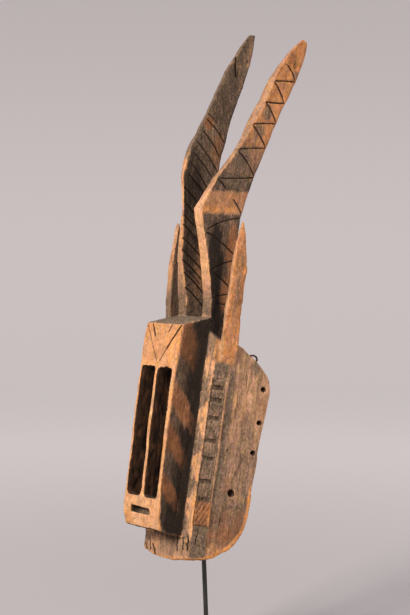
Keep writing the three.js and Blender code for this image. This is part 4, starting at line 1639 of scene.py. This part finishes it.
class GeometryBench(NodeBench):
    """A Geometry Nodes tree with named inputs, ready to be run on an object."""

    def __init__(self, name: str, inputs: dict[str, tuple[str, float | int]]) -> None:
        """Makes the tree.

        Args:
            name: The tree's name.
            inputs: A socket type and a first value for each input after the geometry.
        """
        super().__init__(bpy.data.node_groups.new(name, "GeometryNodeTree"))
        interface = self.tree.interface
        interface.new_socket("Geometry", in_out="INPUT", socket_type="NodeSocketGeometry")
        self.sockets = {}
        for label, (kind, first) in inputs.items():
            socket = interface.new_socket(label, in_out="INPUT", socket_type=kind)
            socket.default_value = first
            self.sockets[label] = socket
        material = interface.new_socket("Material", in_out="INPUT", socket_type="NodeSocketMaterial")
        self.sockets["Material"] = material
        interface.new_socket("Geometry", in_out="OUTPUT", socket_type="NodeSocketGeometry")
        self.entry = self.tree.nodes.new("NodeGroupInput")
        self.exit = self.tree.nodes.new("NodeGroupOutput")

    def close(self, geometry: Socket) -> None:
        """Ends the tree with real geometry, smooth faces and the material.

        Args:
            geometry: What the tree has made.
        """
        smooth = self.add("GeometryNodeSetShadeSmooth", {"Geometry": geometry})
        real = self.add("GeometryNodeRealizeInstances", {"Geometry": smooth.outputs[0]})
        inputs = {"Geometry": real.outputs[0], "Material": self.entry.outputs["Material"]}
        dressed = self.add("GeometryNodeSetMaterial", inputs)
        self.feed(self.exit.inputs[0], dressed.outputs[0])

    def run(self, made: bpy.types.Object, values: dict[str, object]) -> bpy.types.Mesh:
        """Runs the tree on an object and keeps the result as its mesh.

        Args:
            made: The object that holds the path or the surface.
            values: A value for each named input.

        Returns:
            The mesh.
        """
        modifier = made.modifiers.new(self.tree.name, "NODES")
        modifier.node_group = self.tree
        for label, value in values.items():
            modifier[self.sockets[label].identifier] = value
        return settled_mesh(made)


def path_object(name: str, paths: list[list[Vector]], closed: bool) -> bpy.types.Object:
    """Makes an object of bare edges along some paths.

    Args:
        name: The object's name.
        paths: The points of each path, in metres.
        closed: Whether each path runs back to its start.

    Returns:
        The object.
    """
    points: list[Vector] = []
    edges: list[tuple[int, int]] = []
    for path in paths:
        first = len(points)
        points.extend(path)
        edges.extend((first + i, first + i + 1) for i in range(len(path) - 1))
        if closed:
            edges.append((first + len(path) - 1, first))
    mesh = bpy.data.meshes.new(name)
    mesh.from_pydata([tuple(point) for point in points], edges, [])
    return new_object(name, mesh)


def round_bar_tree() -> GeometryBench:
    """Sweeps a round section along each path and closes its ends.

    Returns:
        The tree.
    """
    sockets = {"Radius": ("NodeSocketFloat", 0.003), "Sides": ("NodeSocketInt", 32)}
    bench = GeometryBench("round_bar", sockets)
    path = bench.add("GeometryNodeMeshToCurve", {"Mesh": bench.entry.outputs["Geometry"]})
    inputs = {"Resolution": bench.entry.outputs["Sides"], "Radius": bench.entry.outputs["Radius"]}
    section = bench.add("GeometryNodeCurvePrimitiveCircle", inputs)
    inputs = {"Curve": path.outputs[0], "Profile Curve": section.outputs[0], "Fill Caps": True}
    bench.close(bench.add("GeometryNodeCurveToMesh", inputs).outputs[0])
    return bench


def weld_bead_tree() -> GeometryBench:
    """Lays overlapping lumps of weld along each path.

    Returns:
        The tree.
    """
    sockets = {
        "Lump Radius": ("NodeSocketFloat", 0.0011),
        "Pitch": ("NodeSocketFloat", 0.0011),
        "Seed": ("NodeSocketInt", 5),
    }
    bench = GeometryBench("weld_bead", sockets)
    path = bench.add("GeometryNodeMeshToCurve", {"Mesh": bench.entry.outputs["Geometry"]})
    inputs = {"Curve": path.outputs[0], "Length": bench.entry.outputs["Pitch"]}
    points = bench.add("GeometryNodeCurveToPoints", inputs, mode="LENGTH")
    inputs = {"Subdivisions": 2, "Radius": bench.entry.outputs["Lump Radius"]}
    lump = bench.add("GeometryNodeMeshIcoSphere", inputs)
    size = bench.add("FunctionNodeRandomValue", {"Seed": bench.entry.outputs["Seed"]}, data_type="FLOAT")
    size.inputs[2].default_value = 0.85
    size.inputs[3].default_value = 1.15
    inputs = {"Points": points.outputs["Points"], "Instance": lump.outputs["Mesh"], "Scale": size.outputs[1]}
    bench.close(bench.add("GeometryNodeInstanceOnPoints", inputs).outputs[0])
    return bench


def twisted_cord_tree(plies: int) -> GeometryBench:
    """Winds plies of yarn round each other along a closed path.

    Args:
        plies: How many plies.

    Returns:
        The tree.
    """
    sockets = {
        "Ply Radius": ("NodeSocketFloat", 0.0006),
        "Ply Offset": ("NodeSocketFloat", 0.0005),
        "Turns": ("NodeSocketFloat", 9.0),
        "Steps": ("NodeSocketInt", 150),
    }
    bench = GeometryBench("twisted_cord", sockets)
    path = bench.add("GeometryNodeMeshToCurve", {"Mesh": bench.entry.outputs["Geometry"]})
    inputs = {"Curve": path.outputs[0], "Count": bench.entry.outputs["Steps"]}
    path = bench.add("GeometryNodeResampleCurve", inputs)
    share = bench.add("GeometryNodeSplineParameter").outputs["Factor"]
    normal = bench.add("GeometryNodeInputNormal").outputs[0]
    tangent = bench.add("GeometryNodeInputTangent").outputs[0]
    side = bench.add("ShaderNodeVectorMath", {0: tangent, 1: normal}, operation="CROSS_PRODUCT").outputs[0]
    turns = bench.maths("MULTIPLY", share, bench.entry.outputs["Turns"])
    turned = bench.maths("MULTIPLY", turns, 2 * math.pi)
    inputs = {"Resolution": 10, "Radius": bench.entry.outputs["Ply Radius"]}
    section = bench.add("GeometryNodeCurvePrimitiveCircle", inputs)
    joined = bench.add("GeometryNodeJoinGeometry")
    for ply in range(plies):
        angle = bench.maths("ADD", turned, 2 * math.pi * ply / plies)
        parts = []
        for direction, operation in ((normal, "COSINE"), (side, "SINE")):
            reach = bench.maths("MULTIPLY", bench.maths(operation, angle), bench.entry.outputs["Ply Offset"])
            part = bench.add("ShaderNodeVectorMath", {0: direction, "Scale": reach}, operation="SCALE")
            parts.append(part.outputs[0])
        offset = bench.add("ShaderNodeVectorMath", {0: parts[0], 1: parts[1]}, operation="ADD").outputs[0]
        strand = bench.add("GeometryNodeSetPosition", {"Geometry": path.outputs[0], "Offset": offset})
        inputs = {"Curve": strand.outputs[0], "Profile Curve": section.outputs[0]}
        swept = bench.add("GeometryNodeCurveToMesh", inputs)
        bench.tree.links.new(swept.outputs[0], joined.inputs[0])
    bench.close(joined.outputs[0])
    return bench


@dataclass
class Mask:
    """The carved mask: a fine mesh over the node's solid, cut, worn and painted."""

    voxel: float = 1.0 * MM
    face_budget: int = 194_000
    hidden_cost: float = 4e-6
    carving: Carving = field(default_factory=Carving)

    def fine_mesh(self) -> bpy.types.Object:
        """Copies the node's solid as one even mesh of small faces.

        Returns:
            The object that holds it.
        """
        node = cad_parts["wallu_mask"]
        made = new_object("carved_mask", node.data.copy())
        shape = bmesh.new()
        shape.from_mesh(made.data)
        bmesh.ops.remove_doubles(shape, verts=shape.verts, dist=1e-6)
        shape.to_mesh(made.data)
        shape.free()
        remesh = made.modifiers.new("remesh", "REMESH")
        remesh.mode = "VOXEL"
        remesh.voxel_size = self.voxel
        settled_mesh(made)
        return made

    def thin_out(self, made: bpy.types.Object, hidden: np.ndarray) -> None:
        """Brings the mesh down to its budget, most of all where it is hidden.

        Args:
            made: The mask's object.
            hidden: How little each point shows, from 0 to 1.
        """
        made.data.calc_loop_triangles()
        group = made.vertex_groups.new(name="hidden")
        steps = np.round(hidden * 4).astype(int)
        for step in range(5):
            group.add(np.flatnonzero(steps == step).tolist(), step / 4, "REPLACE")
        decimate = made.modifiers.new("thin_out", "DECIMATE")
        decimate.ratio = self.face_budget / len(made.data.loop_triangles)
        decimate.vertex_group = group.name
        decimate.vertex_group_factor = self.hidden_cost
        settled_mesh(made)
        made.vertex_groups.clear()

    def build(self, wood: bpy.types.Material) -> bpy.types.Object:
        """Makes the mask.

        Args:
            wood: Its material.

        Returns:
            The mask's object.
        """
        made = self.fine_mesh()
        surface = Surface.of(made.data)
        LOG.info("mask: %d points before thinning", len(surface.points))
        dark = self.carving.cut(surface)
        surface.write(made.data)
        finish = Finish(self.carving, surface)
        finish.paint_box()
        finish.paint_shell()
        finish.paint_horns()
        finish.paint_ears()
        finish.lay_patches()
        finish.wear(dark)
        finish.write(made.data)
        hidden = 0.4 + 0.6 * finish.zones[Zone.HOLLOW] + 0.5 * finish.zones[Zone.BOX_INSIDE]
        self.thin_out(made, np.clip(hidden - surface.smoothed(dark, 2) * 1.5, 0.0, 1.0))
        made.data.materials.clear()
        made.data.materials.append(wood)
        shade_smooth(made.data)
        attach(made, "root")
        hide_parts("wallu_mask")
        LOG.info("mask: %d faces", len(made.data.polygons))
        return made


@dataclass
class TieLoop:
    """The remnant of a cord that stands as a small arch over the rim."""

    apex: Place = (63.0, 61.0, 237.4)
    along: Place = (0.0, 0.89, -0.45)
    out: Place = (0.62, 0.35, 0.7)
    reach: float = 11.5
    half: float = 7.5
    shoulder: float = 3.0
    steps: int = 48
    plies: int = 2
    turns: float = 8.0
    ply_radius: float = 0.86 * MM
    ply_offset: float = 0.6 * MM

    def path(self) -> list[Vector]:
        """Draws the loop's middle line.

        Returns:
            Its points, in metres.
        """
        along = Vector(self.along).normalized()
        out = Vector(self.out)
        out = (out - along * out.dot(along)).normalized()
        centre = Vector(self.apex) - out * self.reach
        points = []
        for step in range(self.steps):
            angle = 2 * math.pi * step / self.steps
            height = self.half * math.sin(angle)
            height += (self.reach - self.half) * math.tanh(height / self.shoulder)
            points.append(centre + along * self.half * math.cos(angle) + out * height)
        placed = CarverFrame.world(np.array([tuple(point) for point in points]))
        return [Vector(point) for point in placed]

    def build(self, cord: bpy.types.Material) -> bpy.types.Object:
        """Makes the loop.

        Args:
            cord: Its material.

        Returns:
            The loop's object.
        """
        made = path_object("cord_remnant", [self.path()], closed=True)
        values = {"Turns": self.turns, "Ply Radius": self.ply_radius, "Ply Offset": self.ply_offset}
        twisted_cord_tree(self.plies).run(made, {**values, "Material": cord})
        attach(made, "root")
        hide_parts("tie_loop")
        return made


@dataclass
class Stand:
    """The leaning steel rod with its crossbar, and the square plate that it stands in."""

    lean: float = math.radians(2.81)
    radius: float = 3.0 * MM
    foot: float = 3.3 * MM
    top: float = 428.0 * MM
    bar_half: float = 24.0 * MM
    side: float = 180.0 * MM
    thick: float = 12.0 * MM
    edge: float = 1.5 * MM
    bar_sides: int = 32
    rounding: float = 0.5 * MM
    ring_steps: int = 24
    weld_lump: float = 1.15 * MM
    weld_pitch: float = 1.2 * MM

    def up_the_rod(self, distance: float) -> Vector:
        """A place on the rod's middle line."""
        return Vector((0.0, -math.sin(self.lean), math.cos(self.lean))) * distance

    def ring(self, centre: Vector, across: Vector, aside: Vector, radius: float) -> list[Vector]:
        """Draws a circle round a centre.

        Args:
            centre: The centre.
            across: The direction of its first point.
            aside: The direction of its second quarter.
            radius: Its radius.

        Returns:
            Its points.
        """
        turn = 2 * math.pi / self.ring_steps
        angles = [turn * i for i in range(self.ring_steps)]
        return [centre + (across * math.cos(a) + aside * math.sin(a)) * radius for a in angles]

    def build_rod(self, steel: bpy.types.Material) -> bpy.types.Object:
        """Makes the rod, its crossbar and the welds.

        Args:
            steel: The material.

        Returns:
            The rod's object.
        """
        head = self.up_the_rod(self.top)
        reach = Vector((self.bar_half, 0.0, 0.0))
        paths = [[self.up_the_rod(self.foot), head], [head - reach, head + reach]]
        made = path_object("rod_and_crossbar", paths, closed=False)
        round_bar_tree().run(made, {"Radius": self.radius, "Sides": self.bar_sides, "Material": steel})
        rounding = made.modifiers.new("rounding", "BEVEL")
        rounding.width = self.rounding
        rounding.segments = 2
        rounding.limit_method = "ANGLE"
        rounding.angle_limit = math.radians(60)
        settled_mesh(made)
        across, aside = Vector((1.0, 0.0, 0.0)), Vector((0.0, 1.0, 0.0))
        rings = [
            self.ring(self.up_the_rod(self.thick + 0.4 * MM), across, aside, self.radius + 0.3 * MM),
            self.ring(self.up_the_rod(self.top - self.radius), across, aside, self.radius * 0.92),
        ]
        welds = path_object("welds", rings, closed=True)
        values = {"Lump Radius": self.weld_lump, "Pitch": self.weld_pitch, "Seed": 5}
        weld_bead_tree().run(welds, {**values, "Material": steel})
        self.join(made, welds)
        shade_smooth(made.data)
        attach(made, "root")
        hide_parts("stand_rod")
        return made

    def join(self, made: bpy.types.Object, other: bpy.types.Object) -> None:
        """Adds another object's mesh to an object, and removes the other.

        Args:
            made: The object that stays.
            other: The object that goes.
        """
        shape = bmesh.new()
        shape.from_mesh(made.data)
        shape.from_mesh(other.data)
        shape.to_mesh(made.data)
        shape.free()
        mesh = other.data
        bpy.data.objects.remove(other)
        bpy.data.meshes.remove(mesh)

    def build_plate(self, steel: bpy.types.Material) -> bpy.types.Object:
        """Makes the square plate.

        Args:
            steel: The material.

        Returns:
            The plate's object.
        """
        shape = bmesh.new()
        bmesh.ops.create_cube(shape, size=1.0)
        bmesh.ops.scale(shape, vec=(self.side, self.side, self.thick), verts=shape.verts)
        bmesh.ops.translate(shape, vec=(0.0, 0.0, self.thick / 2), verts=shape.verts)
        bmesh.ops.bevel(
            shape, geom=shape.edges[:], offset=self.edge, segments=4, profile=0.6,
            affect="EDGES", clamp_overlap=True,
        )
        mesh = bpy.data.meshes.new("foot_plate")
        shape.to_mesh(mesh)
        shape.free()
        made = new_object("foot_plate", mesh)
        mesh.materials.append(steel)
        shade_smooth(mesh)
        weighted = made.modifiers.new("flat_faces", "WEIGHTED_NORMAL")
        weighted.keep_sharp = True
        settled_mesh(made)
        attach(made, "root")
        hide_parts("stand_base")
        return made


@dataclass
class Studio:
    """The photograph's view, soft lights and a plain floor that turns up into a backdrop."""

    eye: Place = (1.4428, -1.2162, 0.5557)
    aim: Place = (0.0, -0.00545, 0.480)
    lit: Place = (0.0, 0.0, 0.5)
    focal_pixels: float = 1450.0
    frame_height: float = 615.0
    sensor: float = 36.0
    floor_flat: float = 3.6
    floor_reach: float = 5.4
    wall_height: float = 6.0
    turn_steps: int = 16
    sides: int = 96
    backdrop: Colour = (0.4, 0.386, 0.409)
    glow: float = 0.355
    glow_reach: Spot = (-0.1, 2.4)
    top_fade: float = 0.7
    glow_colour: Colour = (1.0, 0.9, 0.88)

    def camera(self) -> None:
        """Places the camera."""
        data = bpy.data.cameras.new("camera")
        data.sensor_width = self.sensor
        data.lens = self.sensor * self.focal_pixels / self.frame_height
        made = new_object("camera", data)
        made.location = self.eye
        sight = Vector(self.aim) - Vector(self.eye)
        made.rotation_euler = sight.to_track_quat("-Z", "Y").to_euler()
        bpy.context.scene.camera = made

    def lamp(self, name: str, place: Place, size: float, power: float, colour: Colour) -> None:
        """Adds a soft lamp that faces the mask.

        Args:
            name: The lamp's name.
            place: Where it hangs, in metres.
            size: The side of its square face, in metres.
            power: Its power in watts.
            colour: Its colour.
        """
        data = bpy.data.lights.new(name, "AREA")
        data.size = size
        data.energy = power
        data.color = colour
        made = new_object(name, data)
        made.location = place
        sight = Vector(self.lit) - Vector(place)
        made.rotation_euler = sight.to_track_quat("-Z", "Y").to_euler()

    def lights(self) -> None:
        """Hangs the lamps and sets the light of the room."""
        self.lamp("key", (0.5, -1.9, 1.45), 0.5, 60.0, (1.0, 0.9, 0.78))
        self.lamp("side", (2.1, 0.35, 1.2), 0.9, 15.0, (1.0, 0.92, 0.84))
        self.lamp("top", (0.2, 0.7, 2.4), 1.0, 20.0, (1.0, 0.95, 0.9))
        world = bpy.data.worlds.new("room")
        world.use_nodes = True
        background = world.node_tree.nodes["Background"]
        background.inputs["Color"].default_value = (0.86, 0.84, 0.84, 1)
        background.inputs["Strength"].default_value = 0.4
        bpy.context.scene.world = world
        bpy.context.scene.view_settings.view_transform = "Standard"

    def floor(self) -> None:
        """Makes the floor, flat under the stand and rising all round far away."""
        rings = [(self.floor_flat, 0.0)]
        bend = self.floor_reach - self.floor_flat
        for step in range(1, self.turn_steps + 1):
            angle = math.pi / 2 * step / self.turn_steps
            rings.append((self.floor_flat + bend * math.sin(angle), bend * (1 - math.cos(angle))))
        rings.append((self.floor_reach, self.wall_height))
        shape = bmesh.new()
        centre = shape.verts.new((0.0, 0.0, 0.0))
        previous: list[bmesh.types.BMVert] = []
        turn = 2 * math.pi / self.sides
        for radius, height in rings:
            ring = [
                shape.verts.new((radius * math.cos(i * turn), radius * math.sin(i * turn), height))
                for i in range(self.sides)
            ]
            for i, corner in enumerate(ring):
                j = (i + 1) % self.sides
                if previous:
                    shape.faces.new((previous[i], corner, ring[j], previous[j]))
                else:
                    shape.faces.new((centre, corner, ring[j]))
            previous = ring
        mesh = bpy.data.meshes.new("floor")
        shape.to_mesh(mesh)
        shape.free()
        shade_smooth(mesh)
        made = new_object("floor", mesh)
        material = Material("plain_floor")
        bench = material.bench
        material.shader.inputs["Base Color"].default_value = (*self.backdrop, 1)
        material.shader.inputs["Roughness"].default_value = 0.9
        material.shader.inputs["Specular IOR Level"].default_value = 0.1
        place = material.place.outputs["Object"]
        height = bench.add("ShaderNodeSeparateXYZ", {0: place}).outputs["Z"]
        level = {0: bench.stretched(place, (1.0, 1.0, 0.0))}
        away = bench.add("ShaderNodeVectorMath", level, operation="LENGTH").outputs["Value"]
        rise = bench.spread(away, *self.glow_reach, 0.0, self.glow)
        fade = bench.spread(height, 0.5, 2.0, 1.0, self.top_fade)
        bench.feed(material.shader.inputs["Emission Strength"], bench.maths("MULTIPLY", rise, fade))
        material.shader.inputs["Emission Color"].default_value = (*self.glow_colour, 1)
        mesh.materials.append(material.made)

    def build(self) -> None:
        """Sets the whole studio up."""
        self.camera()
        self.lights()
        self.floor()


def main() -> None:
    """Builds the pieces in order."""
    logging.basicConfig(level=logging.INFO, format="%(name)s: %(message)s")
    Studio().build()
    effects = SharedEffects()
    stand = Stand()
    pieces = [
        Mask().build(OldWood().make(effects)),
        TieLoop().build(DriedCord().make(effects)),
        stand.build_rod(BlackenedSteel().make(effects, "black_rod", 0.1)),
        stand.build_plate(BlackenedSteel().make(effects, "black_plate", 0.35)),
    ]
    for piece in pieces:
        LOG.info("%s: %d faces", piece.name, len(piece.data.polygons))


if __name__ == "__main__":
    main()
